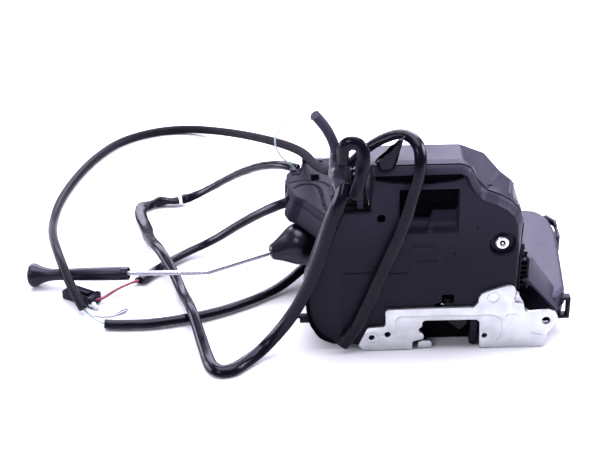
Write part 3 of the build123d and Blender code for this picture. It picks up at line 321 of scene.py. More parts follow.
WIRE_LOOP = in_metres(
    (-77.7, 3.4, 140), (-84, 12, 136), (-90.1, 30, 124.9), (-94.9, 54, 106.6), (-94.4, 82, 85),
    (-90, 98, 69), (-83.5, 103, 60.6),
)
SLEEVE_ARCH = in_metres(
    (-61.5, 3.8, 114), (-61.5, 3.8, 119), (-61.4, 3.5, 123.7), (-58.4, 2.9, 126.9), (-54, 2.2, 126.8),
    (-50.9, 1, 123.4), (-51.2, -0.8, 115), (-52.9, -2, 105.6), (-55.6, -3, 97.4),
)
SLEEVE_FRONT = in_metres(
    (-57.6, 11.4, 109.4), (-52.5, 13.5, 113.5), (-46.5, 15, 118.6), (-39.5, 15.4, 122.6),
    (-33, 14.6, 125.4), (-27.4, 12, 126.2), (-23.2, 7.4, 124.8), (-21.2, 1.8, 120.6), (-21.4, -1.5, 113),
    (-23.9, -1.5, 99.6), (-29.9, -1.5, 75.4), (-39.9, -1.5, 50.6), (-48.5, -1.5, 26), (-55, -1.5, 12.4),
    (-60.7, -1.5, 4.6),
)
WIRE_RED = in_metres(
    (-199, 54, 3.4), (-196.4, 53.8, 3.4), (-193.6, 55.5, 3.8), (-190, 59.4, 4.4), (-186.2, 64.5, 4),
    (-181.6, 69.5, 3.4), (-178, 72.8, 3.1), (-174.8, 74.2, 3.1),
)
WIRE_WHITE = in_metres(
    (-207.7, 50.4, 7), (-205.67, 47.46, 4.4), (-204.3, 45.4, 2.65), (-201, 42.6, 1.2), (-196.6, 40.4, 0.8),
    (-192, 39.6, 0.8), (-187, 40.8, 0.8), (-181.1, 44.5, 1.5),
)


def route_curve(name, route):
    """The cord's own line: a quadratic NURBS spline with the route as its control points."""
    data = bpy.data.curves.new(name, "CURVE")
    data.dimensions = "3D"
    spline = data.splines.new("NURBS")
    spline.points.add(len(route) - 1)
    for point, place in zip(spline.points, route):
        point.co = (*place, 1)
    spline.order_u = 3
    spline.use_endpoint_u = True
    data.resolution_u = 20
    curve = bpy.data.objects.new(name, data)
    bpy.context.scene.collection.objects.link(curve)
    return curve


def line_points(curve):
    """Points along the curve's own spline, as Blender evaluates it."""
    mesh = bpy.data.meshes.new_from_object(curve)
    points = [vert.co.copy() for vert in mesh.vertices]
    bpy.data.meshes.remove(mesh)
    return points


def frames_along(points):
    """Tangent, side and up at each point: up stays as near to world Z as the line allows."""
    made = []
    side = None
    for index, place in enumerate(points):
        ahead = points[min(index + 1, len(points) - 1)]
        behind = points[max(index - 1, 0)]
        along = (ahead - behind).normalized()
        if side is None:
            side = along.cross(Vector((0, 0, 1)))
            if side.length < 0.2:
                side = Vector((1, 0, 0))
        side = (side - along * side.dot(along)).normalized()
        made.append((along, side, side.cross(along).normalized()))
    return made


def even_points(points, step):
    """The line's own points thinned or filled to an even spacing for skinning."""
    lengths = [0.0]
    for a, b in zip(points, points[1:]):
        lengths.append(lengths[-1] + (b - a).length)
    total = lengths[-1]
    count = max(2, round(total / step))
    made, index = [], 0
    for k in range(count + 1):
        target = total * k / count
        while index < len(points) - 2 and lengths[index + 1] < target:
            index += 1
        span = lengths[index + 1] - lengths[index]
        made.append(points[index].lerp(points[index + 1],
                                       0 if span == 0 else (target - lengths[index]) / span))
    return made


def skin(name, points, section, material, around):
    """A tube along points. section(share, length, angle) gives its half width and half height there."""
    frames = frames_along(points)
    verts = []
    distance = 0.0
    for index, (place, (along, side, up)) in enumerate(zip(points, frames)):
        if index:
            distance += (place - points[index - 1]).length
        for step in range(around):
            angle = 2 * math.pi * step / around
            across, lift = section(index / (len(points) - 1), distance, angle)
            verts.append(place + side * across + up * lift)
    faces = row_faces(len(points), around)
    faces += [tuple(range(around)), tuple(range(len(verts) - 1, len(verts) - around - 1, -1))]
    return add_mesh(name, verts, faces, material)


# ---- cords
def declare(cord, name, exit_at, **facts):
    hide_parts(name)


ROUND_CORDS = (
    ("hose_loop", HOSE_LOOP, 0.0054, HOSE, 0.5766, "bare", "medium"),
    # the stub is in the lit copy of the hose vinyl: painted light
    ("hose_stub", HOSE_STUB, 0.0054, HOSE_PAINTED_LIT, 0.033, "bare", "medium"),
    ("wire_loop", WIRE_LOOP, 0.0009, LEAD, 0.1336, "object", "stiff"),
    ("wire_red", WIRE_RED, 0.0016, RED, 0.0324, "object", "limp"),
    ("wire_green", WIRE_GREEN, 0.0008, GREEN, 0.035, "object", "limp"),
    ("wire_white", WIRE_WHITE, 0.001, PALE, 0.033, "object", "limp"),
)
for cord_name, route, diameter, material, length, far_end, stiffness in ROUND_CORDS:
    cord = route_curve(cord_name + "_cord", route)
    cord.data.bevel_depth = diameter / 2
    cord.data.bevel_resolution = 6
    cord.data.use_fill_caps = True
    cord.data.materials.append(material)
    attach(cord, "housing")
    declare(cord, cord_name, route[0], length=length, diameter=diameter, far_end=far_end,
            stiffness=stiffness)


def value_at(setting, share):
    """A plain number, or one that changes linearly between (share, value) stops."""
    if isinstance(setting, float):
        return setting
    for (s0, v0), (s1, v1) in zip(setting, setting[1:]):
        if share <= s1:
            return v0 + (v1 - v0) * max(0.0, (share - s0) / (s1 - s0))
    return setting[-1][1]


def flat_sleeve(name, route, length, far_end, width_at, height_at, roll_at=0.0, rough_at=0.22, seed=0.0,
                stiffness="limp", declared=0.006):
    """A soft vinyl sleeve: an oval section that flattens and creases along its line."""
    curve = route_curve(name + "_line", route)
    path = line_points(curve)
    bpy.data.objects.remove(curve)
    points = even_points(path, 0.0011)

    def section(share, distance, angle):
        flat = value_at(height_at, share)
        roll = value_at(roll_at, share)
        width = value_at(width_at, share)
        rough = value_at(rough_at, share)
        wobble = 1 + 0.05 * noise.noise((distance * 90 + seed, 0, seed))
        across = width / 2 * wobble * math.cos(angle)
        lift = width / 2 * flat * math.sin(angle) * (1 - 0.22 * math.cos(angle) ** 2)
        crease = noise.noise((distance * 120 + seed, math.cos(angle) * 1.5, math.sin(angle) * 1.5 + seed))
        fold = noise.noise((distance * 230 + seed, math.cos(angle + distance * 90) * 2.2, seed + 7))
        push = 1 + rough * 0.5 * crease + rough * 0.22 * fold
        across, lift = across * push, lift * push
        return (
            across * math.cos(roll) - lift * math.sin(roll),
            across * math.sin(roll) + lift * math.cos(roll),
        )

    sleeve = skin(name + "_cord", points, section, SLEEVE, 26)
    declare(sleeve, name, route[0], length=length, diameter=declared, far_end=far_end, stiffness=stiffness,
            path=path)


flat_sleeve("sleeve_lower", SLEEVE_LOWER, 0.1483, "object", 0.0062, [(0, 0.85), (0.6, 0.75), (1, 0.95)],
            rough_at=0.05, seed=3.1, stiffness="medium")
flat_sleeve("sleeve_left", SLEEVE_LEFT, 0.1286, "bare", [(0, 0.0064), (0.85, 0.0066), (1, 0.0084)],
            [(0, 0.95), (0.6, 0.75), (0.9, 0.62), (1, 0.5)],
            rough_at=0.06, seed=11.7, stiffness="medium")
flat_sleeve("sleeve_arch", SLEEVE_ARCH, 0.0494, "bare", 0.007, 0.62, roll_at=0.5, rough_at=0.24, seed=5.3,
            declared=0.005)
flat_sleeve("sleeve_front", SLEEVE_FRONT, 0.1736, "bare", [(0, 0.0066), (0.45, 0.0066), (0.6, 0.0074),
                                                           (1, 0.007)],
            [(0, 0.8), (0.3, 0.7), (0.4, 0.55), (0.6, 0.5), (0.85, 0.55), (1, 0.5)], rough_at=0.16, seed=23.9)
flat_sleeve("sleeve_flat", SLEEVE_FLAT, 0.4805, "object",
            [(0, 0.0064), (0.26, 0.0066), (0.3, 0.0074), (0.37, 0.0076), (0.46, 0.006), (0.6, 0.006),
             (0.68, 0.0074),
             (0.8, 0.007), (0.9, 0.0082), (1, 0.0078)],
            [(0, 0.85), (0.2, 0.7), (0.24, 0.5), (0.27, 0.75), (0.3, 0.45), (0.36, 0.5), (0.42, 0.7),
             (0.5, 0.8),
             (0.6, 0.62), (0.7, 0.6), (0.85, 0.7), (1, 0.65)],
            roll_at=[(0, 0), (0.2, 0.2), (0.235, 1.2), (0.262, -0.6), (0.29, 0.8), (0.33, 0.5), (0.38, 0.25),
                     (0.46, 0), (1, 0)],
            rough_at=[(0, 0.1), (0.215, 0.15), (0.235, 0.95), (0.288, 0.8), (0.312, 0.08), (0.5, 0.04),
                      (0.68, 0.06), (0.7, 0.16), (0.76, 0.05), (1, 0.08)],
            seed=41.3)

# ---- outline helpers, in mm
def corner_arc(start, corner, end, steps):
    return [tuple(start.lerp(corner, k / steps).lerp(corner.lerp(end, k / steps), k / steps))
            for k in range(steps + 1)]


def rounded(outline, radii):
    """The outline with rounded corners. radii is one number, or a dict of index to radius with "all"."""
    made = []
    count = len(outline)
    for index, (x, y) in enumerate(outline):
        radius = radii.get(index, radii.get("all", 0.0)) if isinstance(radii, dict) else radii
        here = Vector((x, y))
        before = Vector(outline[index - 1]) - here
        after = Vector(outline[(index + 1) % count]) - here
        half = before.angle(after) / 2
        reach = min(radius / math.tan(half), before.length * 0.48, after.length * 0.48)
        if not radius:
            made.append((x, y))
            continue
        start = here + before.normalized() * reach
        end = here + after.normalized() * reach
        made += corner_arc(start, here, end, 6)
    return made


def curved(points, radius):
    """An open line with its inner corners rounded."""
    made = [points[0]]
    for before, here, after in zip(points, points[1:], points[2:]):
        here = Vector(here)
        before, after = Vector(before) - here, Vector(after) - here
        reach = min(radius, before.length * 0.45, after.length * 0.45)
        made += corner_arc(here + before.normalized() * reach, here, here + after.normalized() * reach, 5)
    return made + [points[-1]]


def ring(centre, radius, count=28):
    turns = [2 * math.pi * k / count for k in range(count)]
    return [(centre[0] + radius * math.cos(turn), centre[1] - radius * math.sin(turn)) for turn in turns]


def on_segment(xs, zs, start, end):
    """The nearest point to each place on a straight segment."""
    run_x, run_z = end[0] - start[0], end[1] - start[1]
    share = ((xs - start[0]) * run_x + (zs - start[1]) * run_z) / (run_x**2 + run_z**2 + 1e-12)
    share = np.clip(share, 0, 1)
    return start[0] + share * run_x, start[1] + share * run_z


def nearest_on(outline, xs, zs):
    """Distance to a closed outline, the nearest point on it, and whether each place is inside."""
    best = np.full(xs.shape, 1e9)
    near_x, near_z = np.zeros_like(xs), np.zeros_like(zs)
    inside = np.zeros(xs.shape, bool)
    for (x0, z0), (x1, z1) in zip(outline, outline[1:] + outline[:1]):
        px, pz = on_segment(xs, zs, (x0, z0), (x1, z1))
        distance = np.hypot(xs - px, zs - pz)
        closer = distance < best
        best = np.where(closer, distance, best)
        near_x, near_z = np.where(closer, px, near_x), np.where(closer, pz, near_z)
        crosses = (z0 > zs) != (z1 > zs)
        at_x = x0 + (zs - z0) * (x1 - x0) / (z1 - z0 + 1e-12)
        inside ^= crosses & (xs < at_x)
    return best, near_x, near_z, inside


def smooth_step(value, low, high):
    share = np.clip((value - low) / (high - low), 0, 1)
    return share * share * (3 - 2 * share)


def box_depth(xs, zs, x, z, soft):
    """1 inside a rectangle and 0 outside it, over a soft edge."""
    return (
        smooth_step(xs, x[0], x[0] + soft) * (1 - smooth_step(xs, x[1] - soft, x[1]))
        * smooth_step(zs, z[0], z[0] + soft) * (1 - smooth_step(zs, z[1] - soft, z[1]))
    )


def line_mark(xs, zs, points, width):
    """1 on an open line and 0 away from it."""
    best = np.full(xs.shape, 1e9)
    for start, end in zip(points, points[1:]):
        px, pz = on_segment(xs, zs, start, end)
        best = np.minimum(best, np.hypot(xs - px, zs - pz))
    return 1 - smooth_step(best, width * 0.4, width)


def shaped_panel(name, outline, cell, depth_of, edge_loops, material, grow_by, top=None):
    """A moulded panel facing the front: a fine grid inside an (x, z) outline, pushed back by depth_of,
    then edge_loops of (depth, growth, spread) round its side walls; grow_by turns spread on by place.
    With top, the panel faces up from that height instead, and its outline is in (x, y)."""
    low_x, high_x = min(x for x, z in outline), max(x for x, z in outline)
    low_z, high_z = min(z for x, z in outline), max(z for x, z in outline)
    columns, rows = int((high_x - low_x) / cell) + 2, int((high_z - low_z) / cell) + 2
    xs, zs = np.meshgrid(low_x + cell * (np.arange(columns) - 0.5), low_z + cell * (np.arange(rows) - 0.5))
    distance, near_x, near_z, inside = nearest_on(outline, xs, zs)
    work = bmesh.new()
    verts = {}
    for row in range(rows - 1):
        for column in range(columns - 1):
            corners = [(row, column), (row, column + 1), (row + 1, column + 1), (row + 1, column)]
            if all(inside[c] or distance[c] < cell * 0.3 for c in corners):
                for corner in corners:
                    if corner not in verts:
                        verts[corner] = work.verts.new((xs[corner], 0, zs[corner]))
                work.faces.new([verts[c] for c in corners])
    for corner, vert in verts.items():
        if vert.is_boundary:
            vert.co = (near_x[corner], 0, near_z[corner])
    bmesh.ops.dissolve_degenerate(work, dist=cell * 0.08, edges=work.edges)
    work.verts.ensure_lookup_table()
    places = np.array([vert.co for vert in work.verts])
    distance = nearest_on(outline, places[:, 0], places[:, 2])[0]
    depth = depth_of(places[:, 0], places[:, 2], distance)
    for vert, value in zip(work.verts, depth):
        vert.co.y = value
    loop = [edge for edge in work.edges if edge.is_boundary]
    normals = {}
    for edge in loop:
        face = edge.link_faces[0]
        middle = (edge.verts[0].co + edge.verts[1].co) / 2
        run = edge.verts[1].co - edge.verts[0].co
        out = Vector((run.z, 0, -run.x)).normalized()
        if out.dot(middle - face.calc_center_median()) < 0:
            out = -out
        for vert in edge.verts:
            normals[vert] = normals.get(vert, Vector()) + out
    ring_verts = {vert: (vert.co.copy(), normals[vert].normalized()) for vert in normals}
    level = {vert: vert for vert in ring_verts}
    for back, growth, spread in edge_loops:
        following = {}
        for vert, (place, out) in ring_verts.items():
            wide, run = grow_by(place.x, place.z, out)
            spot = place + out * growth + run * (spread * wide)
            following[vert] = work.verts.new((spot.x, back, spot.z))
        for edge in loop:
            a, b = edge.verts
            work.faces.new((level[a], level[b], following[b], following[a]))
        level = following
    if top is not None:
        for vert in work.verts:
            vert.co = (vert.co.x, vert.co.z, top - vert.co.y)
    bmesh.ops.scale(work, vec=(MM, MM, MM), verts=work.verts)
    piece = link_piece(name, mesh_of(work, name), material)
    piece.data.set_sharp_from_angle(angle=math.radians(38))
    return piece


def holed_sheet(name, outline, holes, front, back, material, width):
    """A flat sheet facing the front with holes, from an outline in mm, with rounded edges."""
    work = bmesh.new()
    edges = []
    for points in [outline] + holes:
        verts = [work.verts.new((x * MM, front * MM, z * MM)) for x, z in points]
        edges += [work.edges.new((verts[i - 1], verts[i])) for i in range(len(verts))]
    bmesh.ops.triangle_fill(work, use_beauty=True, use_dissolve=False, edges=edges, normal=(0, -1, 0))
    made = bmesh.ops.extrude_face_region(work, geom=list(work.faces))
    moved = [item for item in made["geom"] if isinstance(item, bmesh.types.BMVert)]
    bmesh.ops.translate(work, verts=moved, vec=(0, (back - front) * MM, 0))
    return bevel(link_piece(name, mesh_of(work, name), material), width, 50)

# ---- front cover
COVER = rounded([
    (-65.5, 3.4), (-72.6, 6.6), (-78.4, 16.4), (-80.3, 29.6), (-77, 44), (-67.6, 70), (-61.2, 86.2),
    (-46, 86.2), (-46, 106.6), (0.4, 106.9), (3.6, 105.4), (6.4, 99.1), (9.3, 94.8), (13.2, 91.7),
    (20.4, 88.8), (26, 85.4), (30.2, 81.4), (32.4, 76), (33.7, 61), (33.7, 24), (-36.5, 24), (-36.5, 2.9),
    (-51.5, 2.9), (-55, 3),
], {"all": 6.0, 1: 12, 2: 16, 3: 30, 4: 40, 5: 30, 6: 3.0, 7: 0.8, 8: 1.5, 9: 3, 10: 3, 18: 30, 19: 0.5,
    20: 1.5,
     21: 1.5, 22: 1.5, 23: 1.0})
FOLD_X, FOLD_Z = (-61.4, -60.8, -61.3, -62.6, -66.6), (3, 23.7, 35.9, 47.1, 62)
FACE = 2.0                                      # the cover's flat front face
POCKET_X, POCKET_Z = (-31.3, 0.3), (72.9, 98.2)
SLOT_X, SLOT_Z = (-6.6, -0.2), (28.6, 33.8)
COVER_HOLE = (-40.7, 82.2)
COVER_SCREW = (24.5, 65.2)


def cover_depth(x, z, distance):
    depth = np.full(x.shape, FACE)
    depth += 0.7 * (1 - np.clip(distance / 1.2, 0, 1)) ** 2
    depth += 0.03 * np.clip(z - 83.0, 0, None) ** 1.45 * (1 - smooth_step(x, 4.0, 14.0))
    fold_x = np.interp(z, FOLD_Z, FOLD_X)
    depth += 0.24 * np.clip(fold_x - x, 0, None) * (1 - smooth_step(z, 50, 64))
    depth += 0.05 * np.clip(30.0 - z, 0, None) * smooth_step(-x, 61, 66)
    groove_low = 105.4 - 3.8 * np.sin(np.clip((x + 45.0) / 48.6, 0, 1) * math.pi) ** 0.45
    groove = smooth_step(z, groove_low - 0.5, groove_low + 0.5) * (1 - smooth_step(z, 105.6, 106.4))
    groove *= smooth_step(x, -44.6, -43.2) * (1 - smooth_step(x, 1.6, 2.8))
    depth = np.maximum(depth, FACE + 7.5 * groove)
    pocket = box_depth(x, z, POCKET_X, POCKET_Z, 0.7)
    wedge = smooth_step(x, -16.4 + 0.22 * (z - 76), -15.2 + 0.22 * (z - 76)) * (1 - smooth_step(z, 86.0, 88.4))
    pocket_floor = 8.0 - 3.8 * wedge * np.clip((90 - z) / 12, 0, 1)
    pocket_floor -= (1 - wedge) * 2.6 * (1 - smooth_step(z, 78.5, 82.0))
    pocket_floor -= (pocket_floor - 2.4) * (1 - smooth_step(z, 72.9, 76.6)) * smooth_step(x, -16, -12) * 0.6
    depth = depth + (np.maximum(pocket_floor, depth) - depth) * pocket
    for (at_x, at_z), deep, full, none in ((COVER_SCREW, 3.2, 6.2, 7.4), (COVER_HOLE, 5.0, 1.6, 2.2),
                                           ((10.5, 75.4), 0.8, 0.35, 0.8), ((-1, 59.7), 0.8, 0.35, 0.8)):
        depth += deep * (1 - smooth_step(np.hypot(x - at_x, z - at_z), full, none))
    frame_line = [(-23.4, 54.6), (-23.4, 63.2), (-22.6, 64), (-13.7, 64), (-9.8, 61.5), (-8.6, 54.6)]
    depth -= 0.4 * line_mark(x, z, frame_line + frame_line[:1], 0.9)
    depth += 0.4 * line_mark(x, z, [(-60.3, 69.4), (-60.3, 49.3), (-26.4, 48.4), (-26.4, 57)], 0.8)
    slot = box_depth(x, z, SLOT_X, SLOT_Z, 0.5)
    depth += 2.3 * slot * (1 - box_depth(x, z, (-4.6, -2.4), (28.6, 31.4), 0.5))
    return depth


def cover_growth(x, z, out):
    """How far the rim flares outwards at a place, 0 to 1, and in which direction."""
    if x < -42.0:
        return (1.0, Vector((0, 0, 1))) if z > 100.0 else (0.0, out)
    wide = 1.0 if z > 84.0 else max(0.0, min(1.0, (z - 52.0) / 32.0))
    return (wide, out) if x < 33.0 or z > 45.0 else (0.0, out)


cover = shaped_panel(
    "front_cover_shell", COVER, 0.62, cover_depth,
    [(3.1, 0.2, 0), (5, 0.2, 2.3), (6.9, 0.2, 3.6), (7.1, -0.3, 3.4), (7.6, -0.3, 3.4), (7.8, 0.4, 3.8),
     (11.9, 0.5, 4.2)],
    BLACK, cover_growth,
)
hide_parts("front_cover")
# second material: unlit black for painted shade in the recesses
cover.data.materials.append(SHADE_PAINT)


def within(x, z, x_range, z_range):
    return x_range[0] < x < x_range[1] and z_range[0] < z < z_range[1]


# the pocket floor, the hole and the slot take the unlit black: painted shade in these recesses
for face in cover.data.polygons:
    x, y, z = face.center / MM
    in_pocket = within(x, z, POCKET_X, POCKET_Z) and y > 6.3
    in_hole = math.hypot(x - COVER_HOLE[0], z - COVER_HOLE[1]) < 2.3 and y > 3.0
    if in_pocket or in_hole or (within(x, z, SLOT_X, SLOT_Z) and y > 3.0):
        face.material_index = 1

# no wall along the lower edge, where the fork turns
work = bmesh.new()
work.from_mesh(cover.data)
middles = {face: face.calc_center_median() / MM for face in work.faces}
room_for_fork = [face for face, at in middles.items() if at.z < 24.7 and at.y > 3.0 and -36.0 < at.x < 33.2]
bmesh.ops.delete(work, geom=room_for_fork, context="FACES")
work.to_mesh(cover.data)
work.free()
# an unlit strip behind the top groove: painted shade in the groove
prism_y("cover_groove_shade",
        [(-43, 105.8), (-36, 102.6), (-26, 101.6), (-12, 101.7), (-2, 102.9), (1.4, 105.8)],
        5.4, 6.4, SHADE_PAINT, 0.1)

# ---- latch body
BODY_FRONT_Y, BODY_REAR_Y = 8.6, 30.0
LEFT_SCREW = (-44.4, 8.9)
BODY_RADII = {0: 6, 1: 10, 2: 16, 3: 30, 4: 20, 7: 1, 8: 5, 9: 3, 10: 4, 11: 4, 12: 8, 14: 0.8}
BODY_REAR = rounded([
    (-66, 3.8), (-73.4, 6.8), (-79.2, 16.6), (-81.3, 31), (-68.6, 70.2), (-61.4, 87.2), (-47, 87.2),
    (-47, 111.3), (2.4, 111.4), (15.8, 105.8), (25, 94.7), (32.4, 88.4), (37.2, 72.9), (36.5, 41),
    (36.5, 25), (-36.5, 25), (-36.5, 2.5), (-51.5, 2.5),
], BODY_RADII)
BODY_FRONT = rounded([
    (-66, 3.8), (-73.4, 6.8), (-79.2, 16.6), (-81, 31), (-68.4, 70.2), (-61.4, 87), (-46.6, 87),
    (-46.6, 110.9), (2.2, 111), (9.6, 101.8), (15.6, 95.4), (28.2, 89.2), (36.4, 74), (35, 41), (35, 25),
    (-36.5, 25), (-36.5, 2.5), (-51.5, 2.5),
], BODY_RADII)


def inset(outline, wall):
    """The closed outline moved inwards by wall."""
    made = []
    count = len(outline)
    turn = sum(
        outline[i - 1][0] * outline[i][1] - outline[i][0] * outline[i - 1][1] for i in range(count)
    )
    for index in range(count):
        ahead = Vector(outline[(index + 1) % count])
        behind = Vector(outline[index - 1])
        run = (ahead - behind).normalized()
        step = Vector((run.y, -run.x)) * (wall if turn < 0 else -wall)
        made.append((outline[index][0] + step.x, outline[index][1] + step.y))
    return made


def lofted_wall(name, front, rear, front_y, rear_y, wall, floor_y, gap):
    """A wall between two matched outlines, open at the rear; gap is the (x, z) range that it leaves out."""
    bend = 0.45
    loops = [
        [(x, front_y, z) for x, z in front],
        [(x + (u - x) * bend, front_y + (rear_y - front_y) * bend, z + (w - z) * bend)
         for (x, z), (u, w) in zip(front, rear)],
        [(x, rear_y - 0.7, z) for x, z in rear],
        [(x, rear_y, z) for x, z in inset(rear, 0.5)],
        [(x, rear_y, z) for x, z in inset(rear, wall)],
        [(x, floor_y, z) for x, z in inset(front, wall)],
        [(x, front_y, z) for x, z in inset(front, wall)],
    ]
    count = len(front)
    verts = [(x * MM, y * MM, z * MM) for loop in loops for x, y, z in loop]
    faces = []
    (x0, x1), (z0, z1) = gap
    for level in range(len(loops)):
        following = (level + 1) % len(loops)
        for index in range(count):
            after = (index + 1) % count
            middle_x = (rear[index][0] + rear[after][0]) / 2
            middle_z = (rear[index][1] + rear[after][1]) / 2
            if x0 < middle_x < x1 and z0 < middle_z < z1:
                continue
            here, there = level * count, following * count
            faces.append((here + index, here + after, there + after, there + index))
    piece = add_mesh(name, verts, faces, BLACK)
    piece.data.set_sharp_from_angle(angle=math.radians(28))
    return piece


body_wall = lofted_wall("latch_body_wall", BODY_FRONT, BODY_REAR, BODY_FRONT_Y, BODY_REAR_Y, 2.2, 14.5,
                        ((-60.6, -48), (86, 88.4)))
body_floor = holed_sheet("latch_body_floor", inset(BODY_FRONT, 0.6), [ring(LEFT_SCREW, 5.2)], 12.0, 14.5,
                         BLACK, 0.2)
prism_y("latch_body_boss", ring(COVER_SCREW, 4.0), 14.4, 22.0, BLACK, 0.3)
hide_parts("latch_body")
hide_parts("latch_body")
# the shoulder's blocks are in unlit black: painted shade, as the body behind shades them
for part, x, y in (("front", (-61.2, -47), (8.6, 16)), ("rear", (-61.2, -47), (22, 30)),
                   ("side", (-49.6, -47), (15.9, 22.1))):
    brick("latch_shoulder_" + part, x, y, (85, 87.2), SHADE_PAINT, 0.3)
for k in range(4):
    brick(f"latch_rib_{k}", (34.6, 38.2), (9.6, 26), (43.0 + 4.6 * k, 44.4 + 4.6 * k), BLACK, 0.3)
brick("latch_rib_post", (34.6, 37.6), (8.8, 10.6), (38.6, 60.6), BLACK, 0.4)

# ---- latch plate
RING_HOLE = (-44.5, 8.7)
EAR_HOLE = (50.7, 17.2)
RIVET = (21.1, 32.8)
PLATE = rounded([
    (-51.7, 3.4), (-48.6, 0.5), (-39.1, 0.2), (-31.9, 0.3), (-28.3, 0.9), (-24.7, 0.3), (-22.1, 0.1),
    (-22, 5.5), (-19.1, 6.3), (-16.1, 7.1), (-15.9, 9), (-17, 10.9), (-18.6, 11.4), (-18.8, 14.2),
    (-17.1, 14.8), (-17, 18), (-15.6, 19), (12.6, 18.9), (14.3, 17.1), (14.9, 1.7), (16.1, 0.2),
    (19.3, 0.7), (23, 0.1), (27.4, 0.1), (30.9, 0.7), (33.9, 0.1), (46.9, 0.1), (51.2, 0.6), (52.2, 9.2),
    (54, 11.7), (56.6, 15.5), (57.4, 19.3), (55.3, 22.3), (52.4, 23.5), (46, 23.2), (41, 22.7),
    (38.8, 23.4), (37.6, 28.1), (33.1, 28.8), (32.2, 32.2), (33.3, 35.9), (32.5, 38.5), (30.3, 39.8),
    (28.1, 39.8), (17.4, 36.4), (14.3, 34.8), (13, 31.9), (13.1, 29.8), (10.8, 26.6), (-11.3, 26.6),
    (-36.1, 26.3), (-37.4, 24.9), (-37, 16.9), (-37.9, 15.4), (-46.2, 15), (-47.4, 13.8),
], {"all": 1.2, 29: 3, 30: 4, 31: 4, 32: 3, 42: 2, 44: 3})
plate = holed_sheet(
    "latch_plate_sheet", PLATE,
    [ring(RING_HOLE, 1.65), ring((-35.8, 10.4), 1.75), ring((17.4, 8.4), 1.5), ring(EAR_HOLE, 2.4),
     ring(RIVET, 3.0)],
    0.0, 1.9, ZINC, 0.3,
)
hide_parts("latch_plate")


def bead(name, points, width, height, steps=8):
    """A low pressed rib on the plate's outer face, along (x, z) points in mm."""
    line = [Vector((x, 0, z)) for x, z in points]
    verts = []
    for index, place in enumerate(line):
        run = (line[min(index + 1, len(line) - 1)] - line[max(index - 1, 0)]).normalized()
        side = Vector((run.z, 0, -run.x))
        ends = 0.15 if index in (0, len(line) - 1) else 1.0
        for k in range(steps + 1):
            angle = math.pi * k / steps
            across, out = math.cos(angle) * width / 2 * ends, math.sin(angle) * height * ends
            spot = place + side * across + Vector((0, -out + 0.03, 0))
            verts.append(spot * MM)
    add_mesh(name, verts, row_faces(len(line), steps + 1, closed=False), ZINC)


bead("plate_bead_top", curved([(-31.2, 8.2), (-31.5, 18.4), (-29.4, 21.7), (-4, 21.7), (20.3, 21.5),
                               (26.9, 18.6), (27.6, 9), (22.8, 3.4)], 3.0), 1.4, 0.5)
bead("plate_bead_right", curved([(28.3, 19.4), (29.6, 21.6), (34.4, 21.8), (36.2, 20.4)], 1.5), 1.0, 0.45)
bead("plate_bead_low", curved([(42.2, 10.4), (45.6, 8.4), (51.2, 7.9)], 2.0), 1.2, 0.5)
for name, centre, radius, width in (("plate_dimple", RING_HOLE, 3.5, 1.0), ("plate_rivet_ring", RIVET, 3.1,
                                                                            0.8)):
    bead(name, ring(centre, radius) + ring(centre, radius)[:1], width, 0.4)


# ---- turned pieces
def turned(name, profile, base, axis, material, around, body="housing"):
    """A surface of revolution from (distance, radius) pairs in mm."""
    axis = Vector(axis).normalized()
    side = axis.cross(Vector((0, 0, 1))).normalized()
    up = side.cross(axis)
    verts = []
    for s, r in profile:
        for k in range(around):
            angle = 2 * math.pi * k / around
            place = Vector(base) + axis * s + (side * math.cos(angle) + up * math.sin(angle)) * r
            verts.append(place * MM)
    piece = add_mesh(name, verts, row_faces(len(profile), around), material, body)
    piece.data.set_sharp_from_angle(angle=math.radians(40))
    return piece


ROD_AXIS = Vector((34.3, 8, 6.7)).normalized()
ROD_MOUTH = Vector((-66.73, 67.36, 34.47)) - ROD_AXIS * 33.0
boot = turned(
    "rod_boot_cover",
    [(2, 1.75), (0.6, 1.8), (0, 2.3), (0, 3.2), (0.5, 4), (1.6, 4.7), (3.6, 5.6), (6, 6.8), (8.2, 8.1),
     (10, 9.2),
     (11.8, 10.3), (13.4, 11.1), (15, 11.8), (17, 12.3), (19.6, 12.4), (26, 12.3), (27, 11.9), (28, 12.3),
     (33, 12.3), (33, 9)],
    ROD_MOUTH, ROD_AXIS, RUBBER, 56,
)
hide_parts("rod_boot")

KNOB_END = Vector((-238, 76.8, 6.9))
ROD_BEND = ROD_MOUTH - ROD_AXIS * 37.0
KNOB_AXIS = (ROD_BEND - KNOB_END).normalized()
knob = turned(
    "lock_knob_grip",
    [(0, 0.05), (0, 4.6), (0.25, 5.8), (0.9, 6.6), (1.9, 7), (3.2, 6.9), (4.4, 6.4), (6, 5.6), (8, 4.8),
     (10, 4.2),
     (12.5, 3.75), (15, 3.45), (18, 3.4), (24, 3.5), (31, 3.8), (40, 3.95), (56.4, 4), (56.8, 3.85)],
    KNOB_END, KNOB_AXIS, KNOB, 48, "rod_body",
)
turned("lock_knob_collar", [(56.2, 3.2), (59.4, 3.2), (59.8, 2.9), (59.8, 1.45), (56.2, 1.45)],
       KNOB_END, KNOB_AXIS, KNOB, 32, "rod_body")
knob_side = KNOB_AXIS.cross(Vector((0, 0, 1))).normalized()
knob_up = knob_side.cross(KNOB_AXIS)
for k in range(5):
    turn = 2 * math.pi * k / 5 + 0.35
    corners = []
    for s in (56, 60.6):
        for r, spread in ((2.8, -0.4), (4.05, -0.42), (4.05, 0.42), (2.8, 0.4)):
            out = knob_side * math.cos(turn + spread) + knob_up * math.sin(turn + spread)
            corners.append((KNOB_END + KNOB_AXIS * s + out * r) * MM)
    bevel(add_mesh(f"lock_knob_prong_{k}", corners, prism_faces(4), KNOB, "rod_body"), 0.25)
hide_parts("lock_knob")

